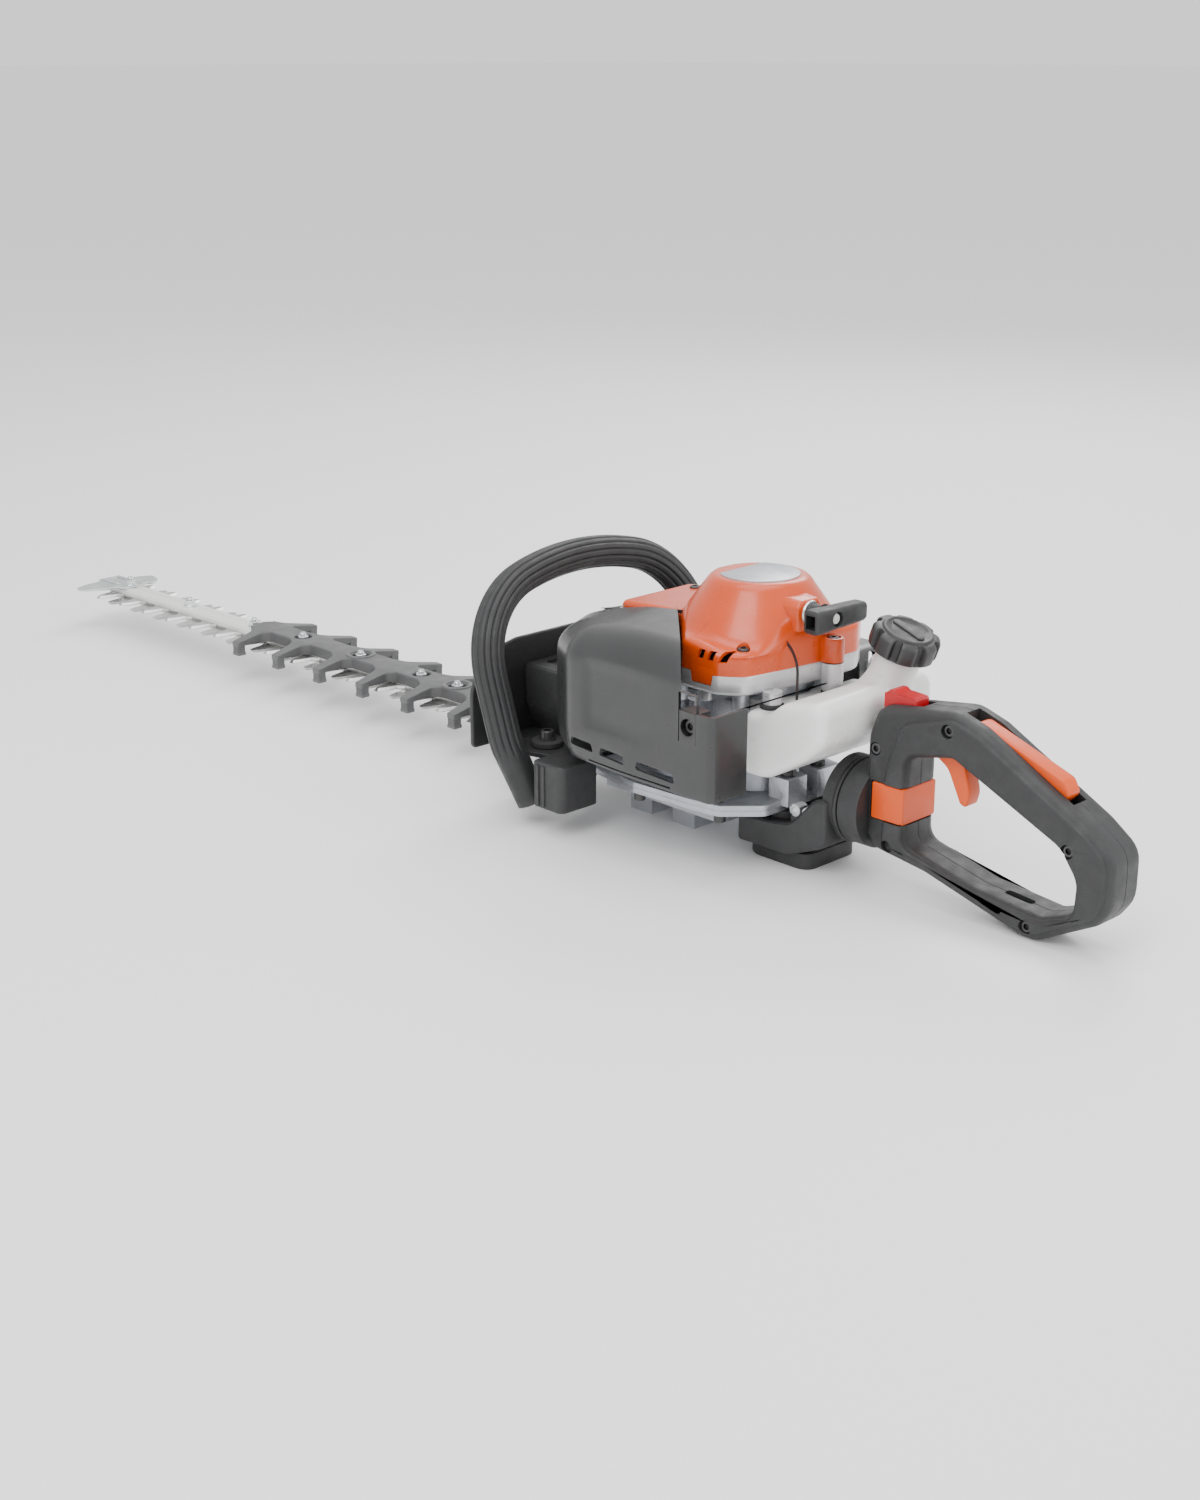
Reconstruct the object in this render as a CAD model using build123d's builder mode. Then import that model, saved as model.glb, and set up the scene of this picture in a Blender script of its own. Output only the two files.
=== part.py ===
"""Petrol hedge trimmer: blades, gear case, two-stroke engine, tank and turning rear handle.

Frame: millimetres, +Z up, +X from the blade tip to the rear handle, origin on the ground
under the middle of the machine.  The crankshaft stands upright on the engine axis.
"""
import os
from math import cos, radians, sin, tan

from build123d import *

os.makedirs("parts", exist_ok=True)

# ---- overall sizes
blade_reach = 873.0          # engine axis to the nose of the tip plate
handle_reach = 310.0         # engine axis to the back of the rear handle
engine_x = (blade_reach - handle_reach) / 2
engine_z = 97.5              # height of the cylinder's axis
fit = 0.05                   # running clearance on a radius
gap = 0.4                    # clearance between bodies that must not touch

# ---- blades and guide rail
tooth_pitch = 40.0
teeth_per_side = 15
tooth_reach = 33.0
tooth_tip = 11.0
tooth_root = 24.0
blade_half_width = 11.0
blade_thickness = 2.6
blade_gap = 0.1
stroke = 20.0                # full travel of each blade
lower_blade_z = 27.2
upper_blade_z = lower_blade_z + blade_thickness + blade_gap
rail_z = upper_blade_z + blade_thickness + blade_gap
rail_thickness = 5.4
rail_top_z = rail_z + rail_thickness
first_tooth = -840.0         # from the engine axis
blade_front = -857.0
stud_radius = 3.0
bare_studs = [-832.0, -727.0, -621.0]
guard_studs = [-546.0, -462.0, -379.0, -332.0]
tip_plate_thickness = 2.0
guard_thickness = 4.6        # finger guard's spine
guard_seat = 0.8             # what is left of it under its nuts

# ---- gear train
gear_centre = -50.0          # drive gear, from the engine axis
gear_radius = 39.6
pinion_radius = -gear_centre - gear_radius - gap
gear_z, gear_height = 43.0, 6.0
eccentric_radius = 13.0
gear_shaft_radius = 5.0
yoke_play = 0.8
yoke_half_x = stroke + eccentric_radius + yoke_play
yoke_half_y = stroke / 2 + eccentric_radius + yoke_play
yoke_rim = 7.0
cover_flange_z = rail_top_z
flange_thickness = 4.0
case_flange_z = cover_flange_z + flange_thickness
case_wall = 4.0
front_mount = (-148.0, 68.0)  # rubber mounts, from the engine axis
rear_mount = (45.0, 16.0)
plate_top = 50.0             # top of the hand guard's base plate
arm_floor = 14.0             # inside floor of the rear arm
mount_bolt = 3.0
case_bolt_places = [(-115, 54), (-52, 66), (19, 58)]

# ---- engine
crank_radius = 13.5
shaft_radius = 6.0
crankcase_radius = 35.0
crankcase_z, crankcase_top = 77.0, 122.0
crank_room_radius = 29.5
piston_radius = 17.0
rod_length = 56.0
rod_thickness = 6.0
bearing_radius = 13.0
drum_radius = 27.0
flywheel_radius = 46.0
band_z, band_top = 128.0, 142.0
deck_z = 163.0
tank_top = 118.0             # under the fan housing
pad_height = 3.0
pad_places = [(50.0, -41.0), (59.0, 13.0)]  # rubber pads between tank and fan housing
dome_top = 197.0
shell = 2.5

# ---- rear handle
turn_z = 54.0                # height of the rear handle's turning axis
seam_x = 100.0               # turning seam, from the engine axis
ring_radius = 31.0
spigot_radius = 23.0
grip_half = 19.0
channel_half = 7.0           # half width of the channel for trigger and lockout
lever_half = channel_half - gap

# ---- front handle
bow_half_width = 110.0
bow_tube = 12.5
bow_height = 162.4           # along the leaning plane, from the foot of the bow to its centre top
bow_lean = 0.34              # millimetres forward for each millimetre up


def from_engine(points):
    """Shift (x, y) points measured from the engine axis into the part's frame."""
    return [(engine_x + x, y) for x, y in points]


def both_sides(points):
    """The same places on both sides of the machine."""
    return [(x, side * y) for x, y in points for side in (-1, 1)]


def mirrored(points):
    """Close a half outline, given on +Y, with its mirror image."""
    return points + [(x, -y) for x, y in reversed(points)]


def save(part, label):
    part.label = label
    export_step(part, f"parts/{label}.step")


side = Plane.XZ              # outlines seen from the -Y side: (x, z)
studs = bare_studs + guard_studs

# ==== blades


def make_blade(z, shift, label):
    """A reciprocating blade: strip, teeth on both sides, stud slots and the drive yoke."""
    yoke_front = gear_centre - yoke_half_x - yoke_rim
    with BuildPart() as blade:
        with BuildSketch(Plane.XY.offset(z)):
            strip = yoke_front + 2 - blade_front
            with Locations((engine_x + blade_front + strip / 2, 0)):
                Rectangle(strip, 2 * blade_half_width)
            for number in range(teeth_per_side):
                x = first_tooth + shift + number * tooth_pitch
                for way in (-1, 1):
                    with BuildLine():
                        Polyline(*from_engine([
                            (x - tooth_root / 2, way * (blade_half_width - 1)),
                            (x - tooth_tip / 2, way * (tooth_reach - 3)),
                            (x - tooth_tip / 4, way * tooth_reach),
                            (x + tooth_tip / 4, way * tooth_reach),
                            (x + tooth_tip / 2, way * (tooth_reach - 3)),
                            (x + tooth_root / 2, way * (blade_half_width - 1))]), close=True)
                    make_face()
            with Locations((engine_x + gear_centre, 0)):
                RectangleRounded(2 * (yoke_half_x + yoke_rim), 2 * (yoke_half_y + yoke_rim), 6)
                RectangleRounded(2 * yoke_half_x, 2 * yoke_half_y, 5, mode=Mode.SUBTRACT)
            with Locations(*from_engine([(x, 0) for x in studs])):
                SlotOverall(stroke + 2 * (stud_radius + 2 * fit) + 1, 2 * (stud_radius + 2 * fit),
                            mode=Mode.SUBTRACT)
        extrude(amount=blade_thickness)
    save(blade.part, label)


make_blade(upper_blade_z, 0, "upper_blade")
make_blade(lower_blade_z, tooth_pitch / 2, "lower_blade")

rail_front = -868.0
rail_back = gear_centre - yoke_half_x - yoke_rim - stroke / 2 - case_wall - 5.0
with BuildPart() as guide_rail:
    with BuildSketch(Plane.YZ.offset(engine_x + rail_front)):
        with BuildLine():
            Polyline((-blade_half_width, rail_z), (-blade_half_width, rail_top_z - 1.8),
                     (-8.5, rail_top_z), (8.5, rail_top_z), (blade_half_width, rail_top_z - 1.8),
                     (blade_half_width, rail_z), close=True)
        make_face()
    extrude(amount=rail_back - rail_front)
    with Locations(*[(engine_x + x, 0, rail_top_z) for x in studs]):
        Hole(stud_radius + fit)
save(guide_rail.part, "guide_rail")

nut_seats = ([rail_top_z + tip_plate_thickness] + [rail_top_z] * (len(bare_studs) - 1)
             + [rail_top_z + guard_seat] * len(guard_studs))
nut_height = 5.0
with BuildPart() as rail_bolts:
    for x, seat in zip(studs, nut_seats):
        with Locations((engine_x + x, 0, lower_blade_z - blade_gap)):
            Cylinder(5.5, 3.4, align=(Align.CENTER, Align.CENTER, Align.MAX))
            Cylinder(stud_radius, seat + nut_height + 3 - lower_blade_z + blade_gap,
                     align=(Align.CENTER, Align.CENTER, Align.MIN))
save(rail_bolts.part, "rail_bolts")

with BuildPart() as rail_nuts:
    for x, seat in zip(studs, nut_seats):
        with BuildSketch(Plane.XY.offset(seat)):
            with Locations((engine_x + x, 0)):
                Circle(6.3)
                Circle(stud_radius + fit, mode=Mode.SUBTRACT)
        extrude(amount=1.2)
        with BuildSketch(Plane.XY.offset(seat + 1.2)):
            with Locations((engine_x + x, 0)):
                RegularPolygon(5.0, 6)
                Circle(stud_radius + fit, mode=Mode.SUBTRACT)
        extrude(amount=nut_height - 1.2)
save(rail_nuts.part, "rail_nuts")

with BuildPart() as tip_plate:
    with BuildSketch(Plane.XY.offset(rail_top_z)):
        with BuildLine():
            Polyline(*from_engine([(-blade_reach, -12), (-865, -14), (-865, -34), (-860, -45), (-850, -48),
                                   (-838, -45), (-833, -34), (-831, -13), (-825, -11), (-825, 11),
                                   (-828, 14), (-824, 24), (-834, 33), (-850, 37), (-855, 26),
                                   (-858, 13), (-blade_reach, 11)]), close=True)
        make_face()
    extrude(amount=tip_plate_thickness)
    with Locations((engine_x + bare_studs[0], 0, rail_top_z + tip_plate_thickness)):
        Hole(stud_radius + fit)
save(tip_plate.part, "tip_plate")

finger_pitch = 60.0
first_finger = -593.0
finger_count = 6
finger_reach = 45.0
spine_front, spine_back = -613.0, -215.0
finger_z = upper_blade_z + blade_thickness + 1    # underside of the fingers
with BuildPart() as finger_guard:
    with BuildSketch(Plane.XY.offset(rail_top_z)):
        with Locations((engine_x + (spine_front + spine_back) / 2, 0)):
            Rectangle(spine_back - spine_front, 2 * blade_half_width)
    extrude(amount=guard_thickness)
    for number in range(finger_count):
        x = first_finger + number * finger_pitch
        for way in (-1, 1):
            for root, bottom, height in ((9, rail_top_z, guard_thickness), (11.5, finger_z, rail_top_z - finger_z)):
                with BuildSketch(Plane.XY.offset(bottom)):
                    with BuildLine():
                        Polyline(*from_engine([(x - 15, way * root), (x - 8, way * 14), (x - 4, way * 21),
                                               (x - 2, way * 32), (x, way * finger_reach),
                                               (x + 9, way * finger_reach), (x + 8, way * 30),
                                               (x + 8, way * 20), (x + 11, way * 13),
                                               (x + 14, way * root)]), close=True)
                    make_face()
                extrude(amount=height)
            tip_depth = finger_reach - tooth_reach - 2
            with Locations((engine_x + x + 4.5, way * (finger_reach - tip_depth / 2), lower_blade_z - 2)):
                Box(9, tip_depth, 12, align=(Align.CENTER, Align.CENTER, Align.MIN))
    with Locations(*[(engine_x + x, 0, rail_top_z + guard_seat) for x in guard_studs]):
        Cylinder(8.0, guard_thickness, align=(Align.CENTER, Align.CENTER, Align.MIN), mode=Mode.SUBTRACT)
        Hole(stud_radius + fit)
save(finger_guard.part, "finger_guard")

# ==== gear case

flange_outline = [(-135, 28), (-122, 60), (-105, 62), (-52, 73), (0, 70), (25, 66), (48, 42)]
tub_front, tub_back, tub_half = rail_back, gear_centre + yoke_half_x + yoke_rim + stroke / 2 + case_wall + 2, 43.0
tub_bottom = 22.0
foot_bottom = 18.0
shaft_seat = tub_bottom - 2       # foot of the gear shaft, in its boss
opening_x = (tub_front + tub_back) / 2
bolt_radius = 2.5


def flange(z):
    """The bolted flange shared by the gear case and its cover."""
    with BuildSketch(Plane.XY.offset(z)) as sketch:
        with BuildLine():
            Polyline(*from_engine(mirrored(flange_outline)), close=True)
        make_face()
        fillet(sketch.vertices(), 10)
        with Locations(*from_engine(both_sides(case_bolt_places))):
            Circle(bolt_radius + fit, mode=Mode.SUBTRACT)
    return sketch.sketch


with BuildPart() as gear_case_cover:
    extrude(flange(cover_flange_z), amount=flange_thickness)
    with Locations((engine_x + opening_x, 0, tub_bottom)):
        Box(tub_back - tub_front, 2 * tub_half, cover_flange_z - tub_bottom + 1,
            align=(Align.CENTER, Align.CENTER, Align.MIN))
    with Locations((engine_x + tub_front + 16, 0, 0), (engine_x + gear_centre, 0, 0)):
        Box(22, 44, tub_bottom + 1, align=(Align.CENTER, Align.CENTER, Align.MIN))
    with BuildSketch(side.offset(-tub_half)):
        with BuildLine():
            Polyline(*from_engine([(-72, cover_flange_z), (-60, foot_bottom), (-36, foot_bottom),
                                   (-24, cover_flange_z)]), close=True)
        make_face()
    extrude(amount=12, both=True)
    with Locations((engine_x + opening_x, 0, tub_bottom + case_wall)):
        Box(tub_back - tub_front - 2 * case_wall, 2 * (tub_half - case_wall), 60,
            align=(Align.CENTER, Align.CENTER, Align.MIN), mode=Mode.SUBTRACT)
    with Locations((engine_x + tub_front, 0, lower_blade_z - gap)):
        Box(4 * case_wall, 2 * (blade_half_width + gap), rail_z - lower_blade_z + 2 * gap,
            align=(Align.CENTER, Align.CENTER, Align.MIN), mode=Mode.SUBTRACT)
    with Locations(*[(engine_x + x, y, cover_flange_z) for x, y in both_sides([rear_mount])]):
        Cylinder(mount_bolt + fit, 20, mode=Mode.SUBTRACT)
    with Locations((engine_x + gear_centre, 0, shaft_seat - 3)):
        Cylinder(9, 5, align=(Align.CENTER, Align.CENTER, Align.MIN))
    with Locations((engine_x + gear_centre, 0, shaft_seat)):
        Cylinder(gear_shaft_radius, 30, align=(Align.CENTER, Align.CENTER, Align.MIN), mode=Mode.SUBTRACT)
save(gear_case_cover.part, "gear_case_cover")

gear_room_top = gear_z + gear_height + 1.5
gear_roof = gear_room_top + case_wall
shaft_top = gear_roof + 7
with BuildPart() as gear_case:
    extrude(flange(case_flange_z), amount=flange_thickness)
    with Locations((engine_x + gear_centre, 0, case_flange_z)):
        Cylinder(gear_radius + 2 + case_wall, gear_roof - case_flange_z,
                 align=(Align.CENTER, Align.CENTER, Align.MIN))
        Cylinder(9, shaft_top + 2 - case_flange_z, align=(Align.CENTER, Align.CENTER, Align.MIN))
    with Locations((engine_x, 0, case_flange_z)):
        Cylinder(drum_radius + 2 + case_wall, crankcase_z - case_flange_z,
                 align=(Align.CENTER, Align.CENTER, Align.MIN))
    with Locations((engine_x + gear_centre, 0, case_flange_z)):
        Cylinder(gear_radius + 2, gear_room_top - case_flange_z,
                 align=(Align.CENTER, Align.CENTER, Align.MIN), mode=Mode.SUBTRACT)
        Cylinder(gear_shaft_radius, shaft_top - case_flange_z,
                 align=(Align.CENTER, Align.CENTER, Align.MIN), mode=Mode.SUBTRACT)
    with Locations((engine_x, 0, case_flange_z)):
        Cylinder(pinion_radius + 1.5, 60, align=(Align.CENTER, Align.CENTER, Align.MIN), mode=Mode.SUBTRACT)
    with Locations((engine_x, 0, gear_room_top)):
        Cylinder(drum_radius + 2, 60, align=(Align.CENTER, Align.CENTER, Align.MIN), mode=Mode.SUBTRACT)
    with Locations(*[(engine_x + x, y, case_flange_z) for x, y in both_sides([rear_mount])]):
        Box(18, 20, 20, align=(Align.CENTER, Align.CENTER, Align.MIN))
        Cylinder(mount_bolt + fit, 20, align=(Align.CENTER, Align.CENTER, Align.MIN), mode=Mode.SUBTRACT)
    with Locations(*[(engine_x + (x - 108) / 2, y * 0.9, case_flange_z) for x, y in both_sides([front_mount])]):
        Box(50, 18, 4, align=(Align.CENTER, Align.CENTER, Align.MIN))
    with Locations(*[(engine_x + x, y, case_flange_z) for x, y in both_sides([front_mount])]):
        Cylinder(11, 4, align=(Align.CENTER, Align.CENTER, Align.MIN))
        Cylinder(mount_bolt + fit, 4, align=(Align.CENTER, Align.CENTER, Align.MIN), mode=Mode.SUBTRACT)
    with Locations(*[(x, y, case_flange_z) for x, y in from_engine(both_sides(case_bolt_places))]):
        Cylinder(bolt_radius + fit, 2 * flange_thickness, mode=Mode.SUBTRACT)
save(gear_case.part, "gear_case")

with BuildPart() as case_bolts:
    for x, y in from_engine(both_sides(case_bolt_places)):
        with Locations((x, y, cover_flange_z)):
            Cylinder(4.25, 7, align=(Align.CENTER, Align.CENTER, Align.MAX))
            Cylinder(bolt_radius, 2 * flange_thickness, align=(Align.CENTER, Align.CENTER, Align.MIN))
        with BuildSketch(Plane.XY.offset(cover_flange_z - 7)):
            with Locations((x, y)):
                RegularPolygon(2.2, 6)
        extrude(amount=3, mode=Mode.SUBTRACT)
save(case_bolts.part, "case_bolts")


def toothed_disc(radius, teeth, depth):
    """Outline of a gear with short, square-topped teeth."""
    points = []
    for number in range(teeth):
        for share, r in ((0.0, radius - depth), (0.25, radius - depth), (0.35, radius), (0.65, radius),
                         (0.75, radius - depth)):
            turn = radians(360 * (number + share) / teeth)
            points.append((r * cos(turn), r * sin(turn)))
    return points


with BuildPart() as drive_gear:
    with BuildSketch(Plane.XY.offset(gear_z)):
        with BuildLine():
            Polyline(*[(engine_x + gear_centre + x, y) for x, y in toothed_disc(gear_radius, 64, 1.6)],
                     close=True)
        make_face()
    extrude(amount=gear_height)
    hub_z = upper_blade_z + blade_thickness
    with Locations((engine_x + gear_centre, 0, hub_z)):
        Cylinder(10, gear_z - hub_z, align=(Align.CENTER, Align.CENTER, Align.MIN))
    for way, z in ((1, upper_blade_z), (-1, lower_blade_z)):
        with Locations((engine_x + gear_centre + way * stroke / 2, 0, z)):
            Cylinder(eccentric_radius, blade_thickness + blade_gap / 2 * (1 + way),
                     align=(Align.CENTER, Align.CENTER, Align.MIN))
    with Locations((engine_x + gear_centre, 0, upper_blade_z - blade_gap)):
        Cylinder(7, 2 * blade_gap, align=(Align.CENTER, Align.CENTER, Align.MIN))
    with Locations((engine_x + gear_centre, 0, lower_blade_z)):
        Cylinder(gear_shaft_radius + fit, 60, align=(Align.CENTER, Align.CENTER, Align.CENTER),
                 mode=Mode.SUBTRACT)
save(drive_gear.part, "drive_gear")

with BuildPart() as gear_shaft:
    with Locations((engine_x + gear_centre, 0, shaft_seat)):
        Cylinder(gear_shaft_radius, shaft_top - shaft_seat,
                 align=(Align.CENTER, Align.CENTER, Align.MIN))
save(gear_shaft.part, "gear_shaft")

# ==== clutch and crank train, all on the engine axis

upright = (Align.CENTER, Align.CENTER, Align.MIN)
drum_floor = gear_room_top + 1.5
drum_top = crankcase_z - 6
stub_radius = 4.0
with BuildPart() as clutch_drum:
    with BuildSketch(Plane.XY.offset(gear_z)):
        with BuildLine():
            Polyline(*[(engine_x + x, y) for x, y in toothed_disc(pinion_radius, 16, 1.6)], close=True)
        make_face()
    extrude(amount=gear_height)
    with Locations((engine_x, 0, gear_z)):
        Cylinder(7, drum_floor - gear_z, align=upright)
    with Locations((engine_x, 0, drum_floor)):
        Cylinder(drum_radius, drum_top - drum_floor, align=upright)
    with Locations((engine_x, 0, drum_floor + 2)):
        Cylinder(drum_radius - 2, 40, align=upright, mode=Mode.SUBTRACT)
    with Locations((engine_x, 0, gear_z)):
        Cylinder(stub_radius + fit, 40, align=upright, mode=Mode.SUBTRACT)
save(clutch_drum.part, "clutch_drum")

shoe_z = drum_floor + 4
with BuildPart() as clutch_shoes:
    with BuildSketch(Plane.XY.offset(shoe_z)):
        with Locations((engine_x, 0)):
            Circle(drum_radius - 3)
            Circle(15, mode=Mode.SUBTRACT)
            Rectangle(12, 4 * drum_radius, mode=Mode.SUBTRACT)
    extrude(amount=10)
    with BuildSketch(Plane.XY.offset(shoe_z)):
        with Locations((engine_x, 0)):
            Rectangle(32, 9)
            Circle(9)
            Circle(shaft_radius, mode=Mode.SUBTRACT)
    extrude(amount=10)
save(clutch_shoes.part, "clutch_shoes")

room_z, room_top = engine_z - 11.5, engine_z + 11.5
web = 4.0
rod_z = engine_z - rod_thickness / 2
with BuildPart() as crankshaft:
    with Locations((engine_x, 0, gear_z + 0.5)):
        Cylinder(stub_radius, shoe_z - gear_z - 0.5, align=upright)
    with Locations((engine_x, 0, shoe_z)):
        Cylinder(shaft_radius, rod_z - gap - web - shoe_z, align=upright)
    with Locations((engine_x, 0, rod_z - gap - web)):
        Cylinder(20, web, align=upright)
    with Locations((engine_x, 0, rod_z + rod_thickness + gap)):
        Cylinder(20, web, align=upright)
        Cylinder(shaft_radius, deck_z + 7 - rod_z - rod_thickness - gap, align=upright)
save(crankshaft.part, "crankshaft")

bearing_places = [crankcase_z + 1, crankcase_top - 7]
with BuildPart() as main_bearings:
    with BuildSketch(*[Plane.XY.offset(z) for z in bearing_places]):
        with Locations((engine_x, 0)):
            Circle(bearing_radius)
            Circle(shaft_radius + fit, mode=Mode.SUBTRACT)
    extrude(amount=6)
save(main_bearings.part, "main_bearings")

ear_places = [(28, 49), (-28, 49)]
ear_radius, ear_arm = 6.0, 12.0
cylinder_foot = -crankcase_radius - 3
with BuildPart() as crankcase:
    with Locations((engine_x, 0, crankcase_z)):
        Cylinder(crankcase_radius, crankcase_top - crankcase_z, align=upright)
        Box(-cylinder_foot, 46, 41, align=(Align.MAX, Align.CENTER, Align.MIN))
    for x, y in both_sides(ear_places):
        with Locations((engine_x + x, y, crankcase_top - 12)):
            Cylinder(ear_radius, band_z - crankcase_top + 12, align=upright)
        with Locations((engine_x + x * 0.7, y * 0.75, crankcase_top - 12)):
            Box(ear_arm, abs(y) * 0.5, 8, align=upright)
    with Locations((engine_x, 0, room_z)):
        Cylinder(crank_room_radius, room_top - room_z, align=upright, mode=Mode.SUBTRACT)
    with Locations((engine_x, 0, crankcase_z)):
        Cylinder(shaft_radius + 1, 60, align=upright, mode=Mode.SUBTRACT)
    for z in bearing_places:
        with Locations((engine_x, 0, z)):
            Cylinder(bearing_radius, 6, align=upright, mode=Mode.SUBTRACT)
    with Locations(Location((engine_x + cylinder_foot, 0, engine_z), (0, 90, 0))):
        Cylinder(piston_radius + 2 * fit, 60, align=upright, mode=Mode.SUBTRACT)
save(crankcase.part, "crankcase")

pin_x = -crank_radius - rod_length          # wrist pin at top dead centre
crown_x, skirt_x = pin_x - 13, pin_x + 11
with BuildPart() as cylinder:
    with BuildSketch(Plane.YZ.offset(engine_x + cylinder_foot)):
        with Locations((0, engine_z)):
            Circle(24)
            Rectangle(50, 41)
    extrude(amount=-5)
    with BuildSketch(Plane.YZ.offset(engine_x + cylinder_foot - 5)):
        with Locations((0, engine_z)):
            Circle(22)
    extrude(amount=-(cylinder_foot - 5 - crown_x + 9))
    for number in range(8):
        with BuildSketch(Plane.YZ.offset(engine_x + cylinder_foot - 8 - 6 * number)):
            with Locations((0, engine_z)):
                RectangleRounded(62, 52, 8)
        extrude(amount=-2)
    with BuildSketch(Plane.YZ.offset(engine_x + cylinder_foot)):
        with Locations((0, engine_z)):
            Circle(piston_radius + 2 * fit)
    extrude(amount=-(cylinder_foot - crown_x + 4), mode=Mode.SUBTRACT)
    with Locations((engine_x + pin_x, -32, engine_z), (engine_x + pin_x, 32, engine_z)):
        Box(26, 8, 22)
    with Locations(Location((engine_x + crown_x - 9, 0, engine_z), (0, 90, 0))):
        Cylinder(5, 30, mode=Mode.SUBTRACT)
save(cylinder.part, "cylinder")

with BuildPart() as piston:
    with BuildSketch(Plane.YZ.offset(engine_x + crown_x)):
        with Locations((0, engine_z)):
            Circle(piston_radius)
    extrude(amount=skirt_x - crown_x)
    with BuildSketch(Plane.YZ.offset(engine_x + crown_x + 4)):
        with Locations((0, engine_z)):
            Circle(piston_radius - 2.5)
    extrude(amount=skirt_x - crown_x, mode=Mode.SUBTRACT)
    with Locations((engine_x + pin_x, 0, engine_z)):
        Cylinder(3.5, 2 * piston_radius - 4)
save(piston.part, "piston")

with BuildPart() as connecting_rod:
    with BuildSketch(Plane.XY.offset(rod_z)):
        with Locations((engine_x + pin_x + rod_length / 2, 0)):
            Rectangle(rod_length, 8)
        with Locations((engine_x + pin_x, 0)):
            Circle(6.5)
            Circle(3.5 + fit, mode=Mode.SUBTRACT)
        with Locations((engine_x + pin_x + rod_length, 0)):
            Circle(8)
            Circle(5, mode=Mode.SUBTRACT)
    extrude(amount=rod_thickness)
save(connecting_rod.part, "connecting_rod")

plug_x = crown_x - 9
with BuildPart() as spark_plug:
    with BuildSketch(Plane.YZ.offset(engine_x + plug_x + 5)):
        with Locations((0, engine_z)):
            Circle(5)
    extrude(amount=-8)
    with BuildSketch(Plane.YZ.offset(engine_x + plug_x)):
        with Locations((0, engine_z)):
            RegularPolygon(8, 6)
    extrude(amount=-5)
    with BuildSketch(Plane.YZ.offset(engine_x + plug_x)):
        with Locations((0, engine_z)):
            Circle(4)
    extrude(amount=-18)
save(spark_plug.part, "spark_plug")

with BuildPart() as plug_cap:
    with BuildSketch(Plane.YZ.offset(engine_x + plug_x - 6)):
        with Locations((0, engine_z)):
            Circle(7.5)
    extrude(amount=-17)
    with Locations((engine_x + plug_x - 16, 0, engine_z)):
        Cylinder(6, 20, align=upright)
    with BuildSketch(Plane.YZ.offset(engine_x + plug_x)):
        with Locations((0, engine_z)):
            Circle(4)
    extrude(amount=-18, mode=Mode.SUBTRACT)
save(plug_cap.part, "plug_cap")

with BuildPart() as flywheel:
    with Locations((engine_x, 0, band_z - 2)):
        Cylinder(flywheel_radius, 4, align=upright)
    with Locations((engine_x, 0, crankcase_top + 0.5)):
        Cylinder(12, 28, align=upright)
    with Locations((engine_x, 0, band_z + 2)):
        with PolarLocations(36, 16):
            Box(16, 2, 12, align=upright)
    with Locations((engine_x, 0, crankcase_top)):
        Cylinder(shaft_radius, 60, align=upright, mode=Mode.SUBTRACT)
save(flywheel.part, "flywheel")

coil_y, coil_width = flywheel_radius + 8, 43.0
with BuildPart() as ignition_coil:
    with Locations((engine_x, coil_y, crankcase_top - 4)):
        Box(coil_width, 12, 16, align=upright)
save(ignition_coil.part, "ignition_coil")

# ==== exhaust

with BuildPart() as muffler:
    with Locations((engine_x - 75, -67, 98)):
        Box(66, 52, 46)
    fillet(muffler.edges().filter_by(Axis.Y), 8)
    with Locations((engine_x + pin_x, -38.5, engine_z)):
        Box(24, 5, 20)
    with Locations((engine_x - 100, -70, 72)):
        Cylinder(5, 6)
save(muffler.part, "muffler")

cover_z, cover_top = 67.0, 167.0
cover_near = 112.0           # distance of the cover's near wall from the centre plane
lower_cover = [(-133, -26), (-133, -62), (-122, -90), (-82, -cover_near), (60, -cover_near), (60, -78),
               (2, -78), (2, -44), (-60, -44), (-60, -26)]
upper_cover = [(-133, -26), (-133, -62), (-122, -90), (-82, -cover_near), (31, -cover_near), (-55, -26)]
cover_split = band_z - 0.5


def wall_sketch(outline, z, inset=0.0, radius=8.0):
    """A rounded outline at height z, drawn in from its edge by the wall thickness."""
    with BuildSketch(Plane.XY.offset(z)) as sketch:
        with BuildLine():
            Polyline(*from_engine(outline), close=True)
        make_face()
        if inset:
            offset(amount=-inset, kind=Kind.INTERSECTION)
        if radius:
            fillet(sketch.vertices(), radius)
    return sketch.sketch


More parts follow.
